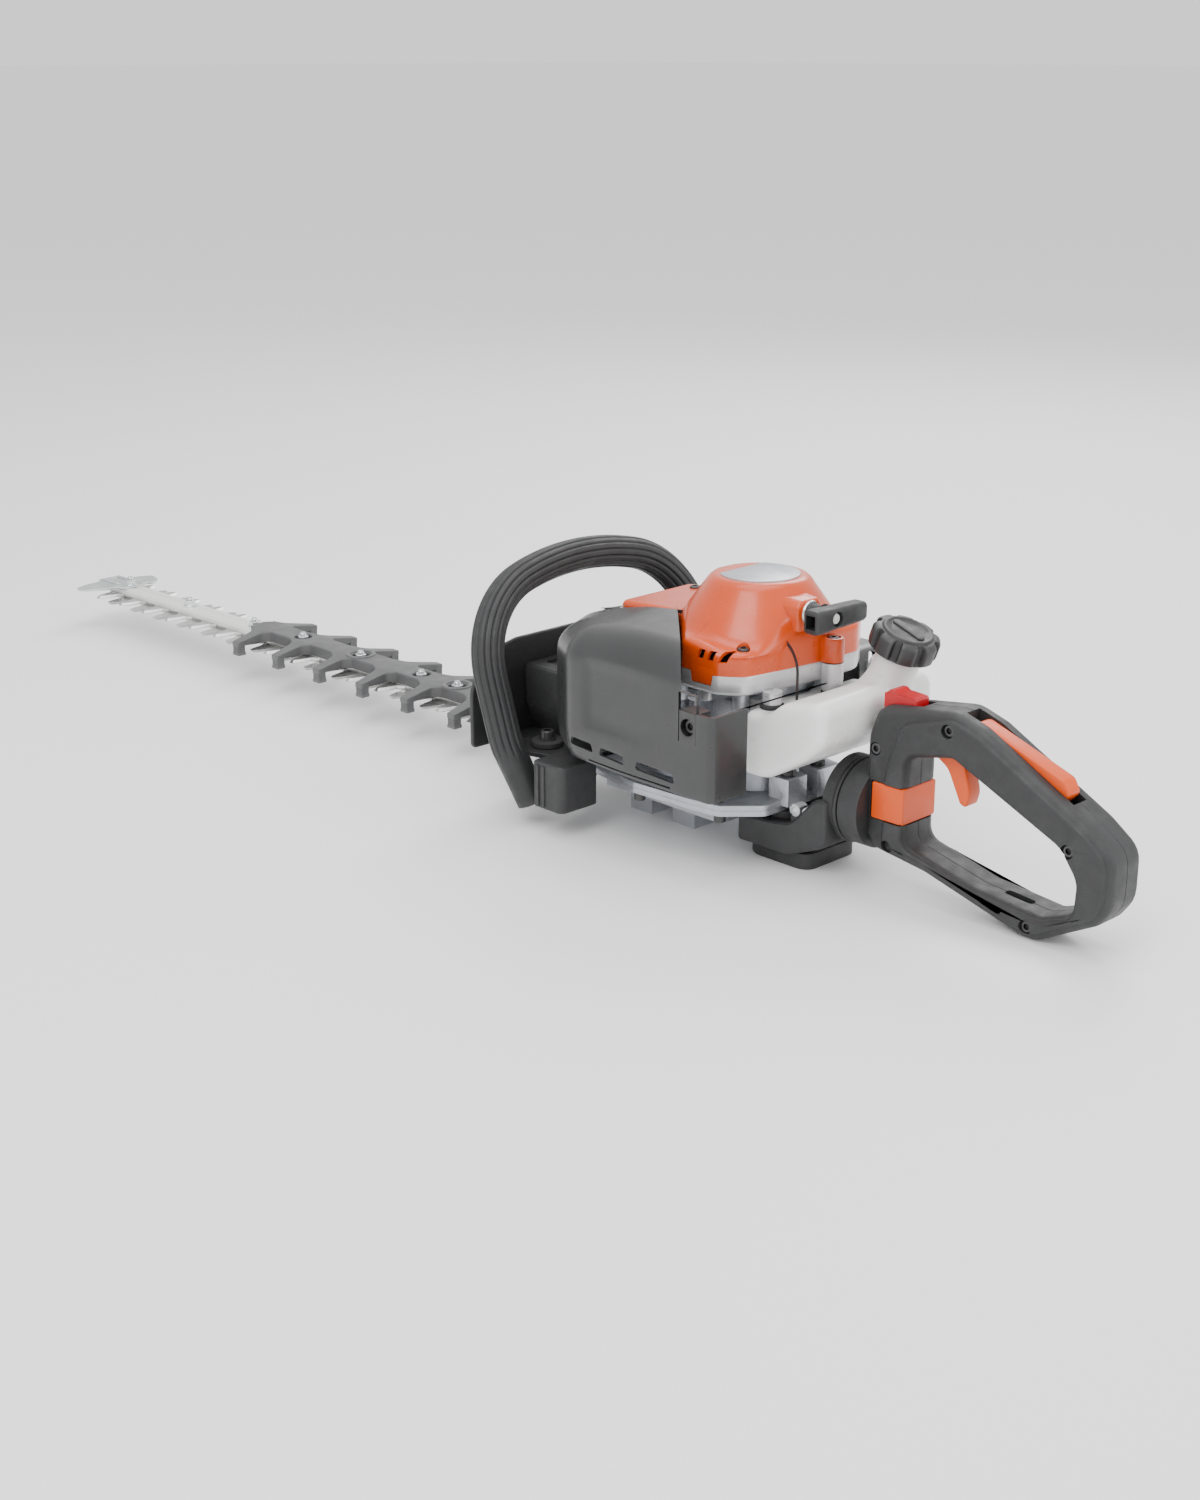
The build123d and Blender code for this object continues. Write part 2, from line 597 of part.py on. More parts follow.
with BuildPart() as muffler_cover:
    extrude(wall_sketch(lower_cover, cover_z, radius=0), amount=cover_split - cover_z)
    extrude(wall_sketch(upper_cover, cover_split, radius=0), amount=cover_top - cover_split)
    uprights = muffler_cover.edges().filter_by(Axis.Z).sort_by(Axis.Y)
    fillet([edge for edge in uprights if edge.center().X < engine_x - 75], 9)
    top_edges = muffler_cover.faces().sort_by(Axis.Z)[-1].edges()
    fillet([edge for edge in top_edges if edge.center().Y < -60 and edge.center().X < engine_x - 5
            and abs(edge.center().X + edge.center().Y - engine_x + 81) > 8], 7)
    extrude(wall_sketch([(-130.5, -20), (-130.5, -60), (-120, -88), (-80, -109.5), (57.5, -109.5),
                         (57.5, -70), (10, -70), (10, -20)], cover_z - 1, radius=0),
            amount=cover_split - shell - cover_z + 1, mode=Mode.SUBTRACT)
    extrude(wall_sketch([(-130.5, -20), (-130.5, -60), (-120, -88), (-80, -109.5), (26, -109.5),
                         (-58, -20)], cover_z, radius=0),
            amount=cover_top - shell - cover_z, mode=Mode.SUBTRACT)
    extrude(wall_sketch([(12, -76), (12, -20), (-60, -20), (-60, -76)], cover_z, radius=0),
            amount=cover_split - cover_z, mode=Mode.SUBTRACT)
    with Locations(*[(engine_x + x, -cover_near + 4, cover_z + 11) for x in (-54, -22, 14)]):
        Box(26, 12, 5, mode=Mode.SUBTRACT)
    with Locations((engine_x + 37, -cover_near, cover_split - 2)):
        Box(18, 14, 18, align=(Align.CENTER, Align.CENTER, Align.MAX))
save(muffler_cover.part, "muffler_cover")

# ==== fan housing and starter

band_outline = [(-116, -24), (-54.5, -24), (-5.5, -73), (27, -73), (43, -60), (48, -30), (53, 10),
                (53, 46), (38, 68), (-60, 68), (-116, 50)]
with BuildPart() as fan_housing:
    extrude(wall_sketch(band_outline, band_z, radius=4), amount=band_top - band_z)
    extrude(wall_sketch(band_outline, band_z + shell, inset=5, radius=2), amount=band_top - band_z,
            mode=Mode.SUBTRACT)
    with Locations((engine_x, 0, band_z)):
        Cylinder(flywheel_radius + 3, 20, align=(Align.CENTER, Align.CENTER, Align.CENTER),
                 mode=Mode.SUBTRACT)
    with Locations((engine_x - 80, 10, band_z)):
        Box(36, 40, 10, mode=Mode.SUBTRACT)
    with Locations((engine_x, coil_y, band_z)):
        Box(coil_width + 2, 14, 8, mode=Mode.SUBTRACT)
    with Locations(*[(engine_x + x, y, tank_top + pad_height) for x, y in pad_places]):
        Cylinder(6.5, band_top - tank_top - pad_height, align=upright)
save(fan_housing.part, "fan_housing")

rope_y, rope_z = -6.0, 179.0
boss_x = 46.0
with BuildPart() as starter_cover:
    extrude(wall_sketch(band_outline, band_top, radius=4), amount=deck_z - band_top)
    fillet(starter_cover.faces().sort_by(Axis.Z)[-1].edges(), 3.5)
    with BuildSketch(side) as dome_profile:
        with BuildLine():
            Polyline((engine_x, deck_z - 6), (engine_x + 59, deck_z - 6), (engine_x + 57, deck_z + 2),
                     (engine_x + 36, dome_top - 4), (engine_x + 31, dome_top), (engine_x, dome_top),
                     close=True)
        make_face()
    revolve(axis=Axis((engine_x, 0, 0), (0, 0, 1)))
    with Locations((engine_x + boss_x / 2 + 6, rope_y, rope_z - 2)):
        Box(boss_x, 26, 22)
    extrude(wall_sketch(band_outline, band_top - 1, inset=shell, radius=2),
            amount=deck_z - band_top + 1 - shell, mode=Mode.SUBTRACT)
    with BuildSketch(side):
        with BuildLine():
            Polyline((engine_x, deck_z - 7), (engine_x + 55, deck_z - 7), (engine_x + 54, deck_z),
                     (engine_x + 34, dome_top - 4 - shell), (engine_x + 30, dome_top - shell),
                     (engine_x, dome_top - shell), close=True)
        make_face()
    revolve(axis=Axis((engine_x, 0, 0), (0, 0, 1)), mode=Mode.SUBTRACT)
    with Locations((engine_x + pad_places[1][0], pad_places[1][1], band_top)):
        Cylinder(6.5, 17, align=upright)
    with Locations((engine_x + pad_places[1][0] - 6, pad_places[1][1], band_top)):
        Box(10, 13, 15, align=upright)
    with Locations((engine_x + pad_places[1][0], pad_places[1][1], band_top + 17)):
        Cylinder(4 + gap, 10, align=upright, mode=Mode.SUBTRACT)
    with Locations(Location((engine_x + boss_x, rope_y, rope_z), (0, 90, 0))):
        Cylinder(5, 40, mode=Mode.SUBTRACT)
    with Locations(*[(engine_x + x, -73, deck_z - 8) for x in (0, 9, 18)]):
        Box(5, 8, 5, mode=Mode.SUBTRACT)
save(starter_cover.part, "starter_cover")

pulley_radius = 20.0
with BuildPart() as starter_pulley:
    with BuildSketch(side):
        with BuildLine():
            bottom, top = deck_z - 8, deck_z + 4
            Polyline((engine_x + shaft_radius + fit, bottom), (engine_x + pulley_radius + 6, bottom),
                     (engine_x + pulley_radius, bottom + 4), (engine_x + pulley_radius, top - 4),
                     (engine_x + pulley_radius + 6, top), (engine_x + shaft_radius + fit, top), close=True)
        make_face()
    revolve(axis=Axis((engine_x, 0, 0), (0, 0, 1)))
save(starter_pulley.part, "starter_pulley")

grip_x = 70.0
with BuildPart() as starter_grip:
    with Locations((engine_x + grip_x, rope_y + 6, rope_z)):
        Box(14, 54, 17)
    fillet(starter_grip.edges(), 4)
    with Locations(Location((engine_x + grip_x - 12, rope_y, rope_z), (0, 90, 0))):
        Cylinder(7, 12)
    with Locations(Location((engine_x + grip_x, rope_y, rope_z), (0, 90, 0))):
        Cylinder(2, 60, mode=Mode.SUBTRACT)
    with Locations(Location((engine_x + grip_x + 7, rope_y, rope_z), (0, 90, 0))):
        Cylinder(5, 8, mode=Mode.SUBTRACT)
save(starter_grip.part, "starter_grip")

with BuildPart() as starter_rope:
    with BuildSketch(Plane.YZ.offset(engine_x + boss_x - 8)):
        with Locations((rope_y, rope_z)):
            Circle(1.9)
    extrude(amount=grip_x + 4 - boss_x + 8)
save(starter_rope.part, "starter_rope")

with BuildPart() as badge_plate:
    with Locations((engine_x, 0, dome_top)):
        Cylinder(29, 1, align=upright)
save(badge_plate.part, "badge_plate")

cover_screw_places = [(-20, 60), (-100, 40), (36, 52), (34, -54)]
with BuildPart() as cover_screws:
    for x, y in cover_screw_places:
        with Locations((engine_x + x, y, deck_z)):
            Cylinder(4, 2.5, align=upright)
    with Locations((engine_x + pad_places[1][0], pad_places[1][1], band_top + 17)):
        Cylinder(4, 2.5, align=upright)
    with Locations(Location((engine_x + 37, -cover_near - 7, cover_split - 11), (90, 0, 0))):
        Cylinder(5, 3, align=upright)
save(cover_screws.part, "cover_screws")

# ==== intake

with BuildPart() as intake_boot:
    with Locations((engine_x + pin_x, 40, engine_z)):
        Box(24, 8, 20)
save(intake_boot.part, "intake_boot")

with BuildPart() as carburettor:
    with Locations((engine_x + pin_x, 56, engine_z)):
        Box(34, 24, 32)
    fillet(carburettor.edges().filter_by(Axis.Y), 4)
    with Locations(Location((engine_x + pin_x, 56, engine_z), (90, 0, 0))):
        Cylinder(7, 40, mode=Mode.SUBTRACT)
save(carburettor.part, "carburettor")

air_near, air_far = 72.0, 116.0
primer_z, primer_radius = 118.0, 10.0
with BuildPart() as air_box:
    with Locations((engine_x - 40, air_near - 4, 98)):
        Box(124, 4, 52, align=(Align.CENTER, Align.MIN, Align.CENTER))
    with Locations(Location((engine_x + pin_x, air_near, engine_z), (90, 0, 0))):
        Cylinder(7, 30, mode=Mode.SUBTRACT)
save(air_box.part, "air_box")

with BuildPart() as air_filter:
    with Locations((engine_x - 40, air_near + 4, 98)):
        Box(110, 24, 42, align=(Align.CENTER, Align.MIN, Align.CENTER))
save(air_filter.part, "air_filter")

with BuildPart() as air_box_cover:
    with Locations((engine_x - 40, air_near, 100)):
        Box(150, air_far - air_near, 64, align=(Align.CENTER, Align.MIN, Align.CENTER))
    fillet(air_box_cover.faces().sort_by(Axis.Y)[-1].edges(), 12)
    offset(amount=-shell, openings=air_box_cover.faces().sort_by(Axis.Y)[0])
    with Locations(Location((engine_x + 34, 90, primer_z), (0, 90, 0))):
        Cylinder(primer_radius + gap, 10, mode=Mode.SUBTRACT)
save(air_box_cover.part, "air_box_cover")

with BuildPart() as choke_lever:
    with Locations(Location((engine_x + 40.2, 90, 84), (0, 90, 0))):
        Cylinder(6, 10)
    with Locations((engine_x + 42, 90, 94)):
        Box(5, 8, 20)
save(choke_lever.part, "choke_lever")

with BuildPart() as primer_bulb:
    with BuildSketch(Plane.XY):
        with BuildLine():
            Line((engine_x + 35.5, 0), (engine_x + 46, 0))
            RadiusArc((engine_x + 46, 0), (engine_x + 35.5, primer_radius), -11)
            Line((engine_x + 35.5, primer_radius), (engine_x + 35.5, 0))
        make_face()
    revolve(axis=Axis((0, 0, 0), (1, 0, 0)))
primer = primer_bulb.part.moved(Location((0, 90, primer_z)))
save(primer, "primer_bulb")

# ==== fuel tank

tank_half = 60.0
tank_profile = [(16, 72), (16, tank_top), (60, tank_top), (72, 131), (104, 137), (111, 130), (111, 108), (93, 92),
                (66, 78), (34, 67)]
neck_place = (96, 26, 134)
cap_tilt = 20.0
cap_radius, cap_height = 24.0, 18.5
neck_length = 26.0
with BuildPart() as fuel_tank:
    with BuildSketch(side.offset(-tank_half)) as profile:
        with BuildLine():
            Polyline(*from_engine(tank_profile), close=True)
        make_face()
        fillet(profile.vertices(), 5)
    extrude(amount=2 * tank_half)
    fillet(fuel_tank.faces().sort_by(Axis.Y)[0].outer_wire().edges(), 4)
    fillet(fuel_tank.faces().sort_by(Axis.Y)[-1].outer_wire().edges(), 4)
    with Locations((engine_x, 0, 60)):
        Cylinder(crankcase_radius + 5, 100, align=upright, mode=Mode.SUBTRACT)
    for x, y in both_sides(ear_places[:1]):
        with Locations((engine_x + x, y, 100)):
            Cylinder(ear_radius + 3, 40, align=upright, mode=Mode.SUBTRACT)
        with Locations((engine_x + x * 0.7, y * 0.75, 100)):
            Box(ear_arm + 4, abs(y) * 0.7, 40, align=upright, mode=Mode.SUBTRACT)
    with Locations(*[(engine_x + x, y, tank_top) for x, y in pad_places]):
        Cylinder(9.5, 20, align=upright, mode=Mode.SUBTRACT)
    neck = Location((engine_x + neck_place[0], neck_place[1], neck_place[2] - 6), (0, cap_tilt, 0))
    with Locations(neck):
        Cylinder(16, neck_length + 3, align=upright)
save(fuel_tank.part, "fuel_tank")

seal_seat = neck * Location((0, 0, neck_length + 3 + gap))
with BuildPart() as cap_seal:
    with BuildSketch(Plane(seal_seat)):
        Circle(17.5)
        Circle(12, mode=Mode.SUBTRACT)
    extrude(amount=2)
save(cap_seal.part, "cap_seal")

with BuildPart() as fuel_cap:
    with BuildSketch(Plane(seal_seat * Location((0, 0, 2)))):
        Circle(cap_radius)
        with PolarLocations(cap_radius + 0.5, 8):
            Circle(3.2, mode=Mode.SUBTRACT)
    extrude(amount=cap_height - 4)
    with BuildSketch(Plane(seal_seat * Location((0, 0, cap_height - 2)))):
        Circle(cap_radius - 6)
    extrude(amount=4)
save(fuel_cap.part, "fuel_cap")

with BuildPart() as tank_pads:
    with Locations(*[(engine_x + x, y, tank_top) for x, y in pad_places]):
        Cylinder(8.5, pad_height, align=upright)
save(tank_pads.part, "tank_pads")

# ==== front end: hand guard and front handle

guard_x = -193.0
with BuildPart() as hand_guard:
    with BuildSketch(Plane.YZ.offset(engine_x + guard_x)) as shield:
        with BuildLine():
            Polyline((-106, 46), (-106, 84), (-92, 108), (-60, 124), (60, 124), (92, 108), (106, 84),
                     (106, 46), close=True)
        make_face()
        fillet(shield.vertices(), 10)
    extrude(amount=4)
    with BuildSketch(Plane.XY.offset(46)):
        with BuildLine():
            Polyline(*from_engine(mirrored([(guard_x, 90), (-150, 88), (-112, 74)])), close=True)
        make_face()
    extrude(amount=4)
    with Locations((engine_x - 163, 0, plate_top - 1)):
        Box(54, 108, 54, align=upright)
        Box(48, 102, 51, align=upright, mode=Mode.SUBTRACT)
    for way in (-1, 1):
        with Locations((engine_x - 103.5, way * 92, 20)):
            Box(31, 36, 36, align=upright)
        with Locations((engine_x - 112, way * 82, 46)):
            Box(20, 20, 4, align=upright)
    with Locations(*[(engine_x + x, y, 46) for x, y in both_sides([front_mount])]):
        Cylinder(mount_bolt + fit, 20, mode=Mode.SUBTRACT)
save(hand_guard.part, "hand_guard")

bow_plane = Plane(origin=(engine_x - 135, 0, 25), x_dir=(0, 1, 0), z_dir=(1, 0, bow_lean))
corner_radius, crown_half_angle, ankle_radius, ankle_angle = 70.0, 15.0, 60.0, 15.0
crown_radius = (bow_half_width - corner_radius
                + corner_radius * sin(radians(crown_half_angle))) / sin(radians(crown_half_angle))
corner_height = (bow_height - corner_radius * cos(radians(crown_half_angle))
                 - crown_radius * (1 - cos(radians(crown_half_angle))))
ankle_height, shin = 46.0, 40.0
ankle = (-bow_half_width + ankle_radius * (1 - cos(radians(ankle_angle))),
         ankle_height - ankle_radius * sin(radians(ankle_angle)))
toe = (ankle[0] + shin * sin(radians(ankle_angle)), ankle[1] - shin * cos(radians(ankle_angle)))
with BuildPart() as front_handle:
    with BuildLine(bow_plane) as bow:
        leg_in = Line(toe, ankle)
        bend_in = JernArc(leg_in @ 1, leg_in % 1, ankle_radius, -ankle_angle)
        rise = Line((-bow_half_width, ankle_height), (-bow_half_width, corner_height))
        corner_in = JernArc(rise @ 1, rise % 1, corner_radius, crown_half_angle - 90)
        crown = JernArc(corner_in @ 1, corner_in % 1, crown_radius, -2 * crown_half_angle)
        corner_out = JernArc(crown @ 1, crown % 1, corner_radius, crown_half_angle - 90)
        fall = Line((bow_half_width, corner_height), (bow_half_width, ankle_height))
        bend_out = JernArc(fall @ 1, fall % 1, ankle_radius, -ankle_angle)
        leg_out = Line((-ankle[0], ankle[1]), (-toe[0], toe[1]))
    with BuildSketch(Plane(origin=leg_in @ 0, z_dir=leg_in % 0)):
        Circle(bow_tube)
    sweep()
save(front_handle.part, "front_handle")

with BuildPart() as av_bushes:
    with Locations(*[(engine_x + x, y, plate_top) for x, y in both_sides([front_mount])]):
        Cylinder(12, 5, align=upright)
        Cylinder(mount_bolt + fit, 5, align=upright, mode=Mode.SUBTRACT)
    with Locations(*[(engine_x + x, y, arm_floor) for x, y in both_sides([rear_mount])]):
        Cylinder(11, cover_flange_z - arm_floor, align=upright)
        Cylinder(mount_bolt + fit, cover_flange_z - arm_floor, align=upright, mode=Mode.SUBTRACT)
save(av_bushes.part, "av_bushes")

with BuildPart() as av_bolts:
    with Locations(*[(engine_x + x, y, plate_top + 5) for x, y in both_sides([front_mount])]):
        Cylinder(6.5, 4, align=upright)
        Cylinder(mount_bolt, plate_top + 5 - case_flange_z + 4, align=(Align.CENTER, Align.CENTER, Align.MAX))
    with Locations(*[(engine_x + x, y, case_flange_z + 20) for x, y in both_sides([rear_mount])]):
        Cylinder(5.5, 3.5, align=upright)
        Cylinder(mount_bolt, case_flange_z + 10, align=(Align.CENTER, Align.CENTER, Align.MAX))
save(av_bolts.part, "av_bolts")

# ==== rear arm

arm_half, arm_wall = 34.0, 4.0
ring_depth = 12.0
arm_profile = [(14, 10), (14, 30), (62, 34), (86, 60), (94, 60), (94, 24), (60, 10)]
arm_room = [(18, 14), (18, 90), (88, 120), (88, 27.5), (62, 14)]


def across(plane_x):
    """Upright plane facing +X, centred on the rear handle's turning axis."""
    return Plane(origin=(engine_x + plane_x, 0, turn_z), z_dir=(1, 0, 0), x_dir=(0, 1, 0))


with BuildPart() as rear_arm:
    with BuildSketch(side.offset(-arm_half)):
        with BuildLine():
            Polyline(*from_engine(arm_profile), close=True)
        make_face()
    extrude(amount=2 * arm_half)
    with BuildSketch(side.offset(-arm_half + arm_wall)):
        with BuildLine():
            Polyline(*from_engine(arm_room), close=True)
        make_face()
    extrude(amount=2 * (arm_half - arm_wall), mode=Mode.SUBTRACT)
    with BuildSketch(across(seam_x)):
        Circle(ring_radius)
    extrude(amount=-ring_depth)
    with BuildSketch(across(seam_x)):
        Circle(spigot_radius + fit)
    extrude(amount=-ring_depth, mode=Mode.SUBTRACT)
    with BuildSketch(Plane.XY):
        with Locations((engine_x + 45, 0)):
            RectangleRounded(60, 56, 10)
    extrude(amount=10)
    with Locations(*[(engine_x + x, y, 14) for x, y in both_sides([rear_mount])]):
        Cylinder(mount_bolt + fit, 16, mode=Mode.SUBTRACT)
save(rear_arm.part, "rear_arm")

with BuildPart() as cable_clip:
    with Locations((engine_x + 68, -24, 36)):
        Box(14, 10, 14, align=upright)
    fillet(cable_clip.edges().filter_by(Axis.Y), 2)
save(cable_clip.part, "cable_clip")

# ==== rear handle: two half shells that turn together in the arm's ring

outer_outline = [(114, 36), (114, 108), (122, 130), (184, 139), (206, 132), (288, 88), (handle_reach, 72),
                 (handle_reach, 38), (300, 24), (257, 1), (243, 1), (166, 22), (124, 28)]
inner_outline = [(148, 37), (205, 23), (258, 18), (282, 27), (283, 50), (270, 68), (184, 107), (148, 99)]
trigger_channel = [(155, 125), (155, 90), (202, 90), (202, 112), (188, 124)]
lockout_channel = [(187, 160), (187, 116), (270, 79), (274, 108), (274, 160)]
latch_z, latch_height, latch_travel = 64.0, 26.0, 6.0
pin_radius = 4.0
screw_places = [(122, 100), (181, 126), (277, 69), (250, 9.5), (135, 33)]


def handle_half(way, label):
    """One half of the rear handle, from its mating face outward to one side."""
    with BuildPart() as half:
        with BuildSketch(side) as body:
            with BuildLine():
                Polyline(*from_engine(outer_outline), close=True)
            make_face()
            fillet(body.vertices(), 7)
            with BuildLine():
                Polyline(*from_engine(inner_outline), close=True)
            inner = make_face(mode=Mode.PRIVATE)
            add(inner, mode=Mode.SUBTRACT)
        extrude(amount=way * grip_half)
        with BuildSketch(across(seam_x + gap)):
            Circle(ring_radius - 1)
            with Locations((way * 50, 0)):
                Rectangle(100, 100, mode=Mode.SUBTRACT)
        extrude(amount=18 - gap)
        with BuildSketch(across(seam_x - ring_depth - 4)):
            Circle(spigot_radius)
            with Locations((way * 50, 0)):
                Rectangle(100, 100, mode=Mode.SUBTRACT)
        extrude(amount=ring_depth + 8)
        with BuildSketch(across(seam_x - ring_depth - 4)):
            Circle(spigot_radius + 2.5)
            with Locations((way * 50, 0)):
                Rectangle(100, 100, mode=Mode.SUBTRACT)
        extrude(amount=4 - gap)
        with BuildSketch(across(seam_x - ring_depth - 4)):
            Circle(spigot_radius - 4)
        extrude(amount=22, mode=Mode.SUBTRACT)
        for channel in (trigger_channel, lockout_channel):
            with BuildSketch(side.offset(-channel_half)):
                with BuildLine():
                    Polyline(*from_engine(channel), close=True)
                make_face()
            extrude(amount=2 * channel_half, mode=Mode.SUBTRACT)
        with Locations((engine_x + 135, 0, 123)):
            Box(36, 2 * channel_half + 1, 40, align=upright, mode=Mode.SUBTRACT)
        with Locations((engine_x + 120, 0, latch_z)):
            Box(40, 80, latch_height + 2 * gap, align=(Align.MIN, Align.CENTER, Align.CENTER),
                mode=Mode.SUBTRACT)
        with BuildSketch(side):
            with Locations((engine_x + 130.5, latch_z)):
                Rectangle(25, latch_height + 4)
        extrude(amount=way * 11)
        with Locations(Location((engine_x + 120, 0, latch_z), (0, 90, 0))):
            Cylinder(pin_radius + fit, 60, mode=Mode.SUBTRACT)
        for x, z in screw_places:
            with Locations(Location((engine_x + x, 0, z), (90, 0, 0))):
                Cylinder(2.0, 60, mode=Mode.SUBTRACT)
                with Locations((0, 0, grip_half - 4)):
                    Cylinder(4.6, 20, align=upright, mode=Mode.SUBTRACT)
    save(half.part, label)


handle_half(1, "rear_handle_left")
handle_half(-1, "rear_handle_right")

with BuildPart() as handle_screws:
    for x, z in screw_places[:4]:
        with Locations(Location((engine_x + x, 0, z), (90, 0, 0))):
            Cylinder(2.0, 2 * grip_half - 12)
            with Locations((0, 0, grip_half - 4)):
                Cylinder(4.2, 3, align=upright)
                Cylinder(2.0, 8, align=(Align.CENTER, Align.CENTER, Align.MAX))
save(handle_screws.part, "handle_screws")

trigger_pivot, lockout_pivot = (165.0, 113.0), (196.0, 124.0)
trigger_outline = [(158, 117), (170, 121), (186, 106), (193, 82), (190, 72), (185, 74), (174, 96), (158, 106)]
lockout_outline = [(190, 129), (197, 134), (264, 110), (269, 101), (262, 93), (192, 117)]


def lever(outline, pivot, label):
    """A lever in the handle's channel, with its pivot bore."""
    with BuildPart() as piece:
        with BuildSketch(side.offset(-lever_half)) as face:
            with BuildLine():
                Polyline(*from_engine(outline), close=True)
            make_face()
            fillet(face.vertices(), 2)
            with Locations((engine_x + pivot[0], pivot[1])):
                Circle(2, mode=Mode.SUBTRACT)
        extrude(amount=2 * lever_half)
    save(piece.part, label)


lever(trigger_outline, trigger_pivot, "throttle_trigger")
lever(lockout_outline, lockout_pivot, "lockout_lever")

with BuildPart() as lever_pins:
    for x, z in (trigger_pivot, lockout_pivot):
        with Locations(Location((engine_x + x, 0, z), (90, 0, 0))):
            Cylinder(2 - fit, 2 * channel_half)
save(lever_pins.part, "lever_pins")

with BuildPart() as stop_switch:
    with Locations((engine_x + 133, 0, 124)):
        Box(28, 2 * channel_half, 13, align=upright)
    fillet(stop_switch.faces().sort_by(Axis.Z)[-1].edges(), 2)
    with Locations((engine_x + 133, 0, 137)):
        Box(5, 2 * channel_half, 3, align=upright)
save(stop_switch.part, "stop_switch")

with BuildPart() as swivel_latch:
    with Locations((engine_x + 143.5, 0, latch_z)):
        Box(4, 2 * grip_half - 2, latch_height, align=(Align.MIN, Align.CENTER, Align.CENTER))
    for way in (-1, 1):
        with Locations((engine_x + 121, way * (grip_half - 4), latch_z)):
            Box(24, 6, latch_height, align=(Align.MIN, Align.CENTER, Align.CENTER))
    with Locations(Location((engine_x + 144, 0, latch_z), (0, 90, 0))):
        Cylinder(pin_radius, 26, align=(Align.CENTER, Align.CENTER, Align.MAX))
save(swivel_latch.part, "swivel_latch")
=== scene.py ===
from math import acos, atan2, cos, exp, pi, radians, sin, tan

import bmesh
import bpy
from bpy.props import FloatProperty, FloatVectorProperty, IntProperty, PointerProperty
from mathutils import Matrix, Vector


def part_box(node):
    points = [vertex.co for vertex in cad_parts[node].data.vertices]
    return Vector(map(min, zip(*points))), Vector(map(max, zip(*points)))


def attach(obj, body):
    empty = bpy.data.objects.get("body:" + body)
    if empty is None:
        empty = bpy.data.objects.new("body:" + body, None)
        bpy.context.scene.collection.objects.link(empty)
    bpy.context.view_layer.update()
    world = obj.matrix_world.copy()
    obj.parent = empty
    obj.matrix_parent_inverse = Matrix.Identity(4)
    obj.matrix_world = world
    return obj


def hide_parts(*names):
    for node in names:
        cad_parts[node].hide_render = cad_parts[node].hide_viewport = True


bl_info = {
    "name": "Hedge Trimmer",
    "version": (1, 0, 0),
    "blender": (4, 5, 0),
    "location": "3D View > Sidebar > Trimmer",
    "description": "Builds the visible skins of a petrol hedge trimmer around its frame",
    "category": "Object",
}

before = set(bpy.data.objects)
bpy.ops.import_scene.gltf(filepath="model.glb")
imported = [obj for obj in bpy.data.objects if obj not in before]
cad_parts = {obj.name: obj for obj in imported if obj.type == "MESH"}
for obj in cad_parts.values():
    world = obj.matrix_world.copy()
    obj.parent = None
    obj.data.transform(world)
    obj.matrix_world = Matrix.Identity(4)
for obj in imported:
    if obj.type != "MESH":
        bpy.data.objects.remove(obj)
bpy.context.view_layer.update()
badge_low, badge_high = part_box("badge_plate")
ENGINE = (badge_low.x + badge_high.x) / 2      # the crank axis, in metres
TURN_Z = 54.0                                  # height of the rear handle's turning axis


# ---- sizes and colours

def length(name, text, value):
    """A size in metres, shown with its unit."""
    return FloatProperty(name=name, description=text, default=value, min=0.0, unit="LENGTH")


def colour(name, text, value):
    """A colour swatch."""
    return FloatVectorProperty(name=name, description=text, default=value, size=3, min=0.0, max=1.0,
                               subtype="COLOR")


class TrimmerSizes(bpy.types.PropertyGroup):
    """Sizes that shape the details."""
    edge_round: length("Edge round", "Radius of the broken edges of cast and moulded parts", 0.0006)
    rib_depth: length("Rib depth", "Depth of the grooves along the front handle", 0.0011)
    rib_count: IntProperty(name="Ribs", description="Grooves round the front handle", default=14, min=6)
    ground_edge: length("Ground edge", "Width of the ground bevel on the teeth", 0.0019)
    thread_pitch: length("Thread pitch", "Pitch of the studs' thread", 0.001)
    shell: length("Shell", "Wall of the moulded covers", 0.0025)


class TrimmerColours(bpy.types.PropertyGroup):
    """Base colours of the finishes."""
    charcoal: colour("Charcoal", "Glass-filled nylon of handles and guards", (0.020, 0.0205, 0.0215))
    cover_grey: colour("Cover grey", "Satin plastic of the exhaust and air covers", (0.026, 0.0265, 0.0275))
    orange: colour("Orange", "Painted starter cover", (0.62, 0.060, 0.0))
    lever_orange: colour("Lever orange", "Moulded levers and latch", (0.70, 0.072, 0.0))
    red: colour("Red", "Stop switch", (0.42, 0.001, 0.006))
    silver: colour("Silver", "Painted fan housing", (0.50, 0.50, 0.51))
    cast: colour("Cast metal", "Gear case and engine castings", (0.40, 0.42, 0.46))
    steel: colour("Blade steel", "Ground blade steel", (0.25, 0.245, 0.24))
    rail: colour("Rail", "Bright guide rail", (0.82, 0.82, 0.79))
    zinc: colour("Zinc", "Zinc-plated fasteners and tip plate", (0.56, 0.60, 0.61))
    tank: colour("Tank", "Milky polyethylene", (0.83, 0.84, 0.82))


# ---- finishes

def node_input(node, names, value):
    """Set the first of the named sockets that the shader has."""
    for name in names:
        if name in node.inputs:
            node.inputs[name].default_value = value
            return


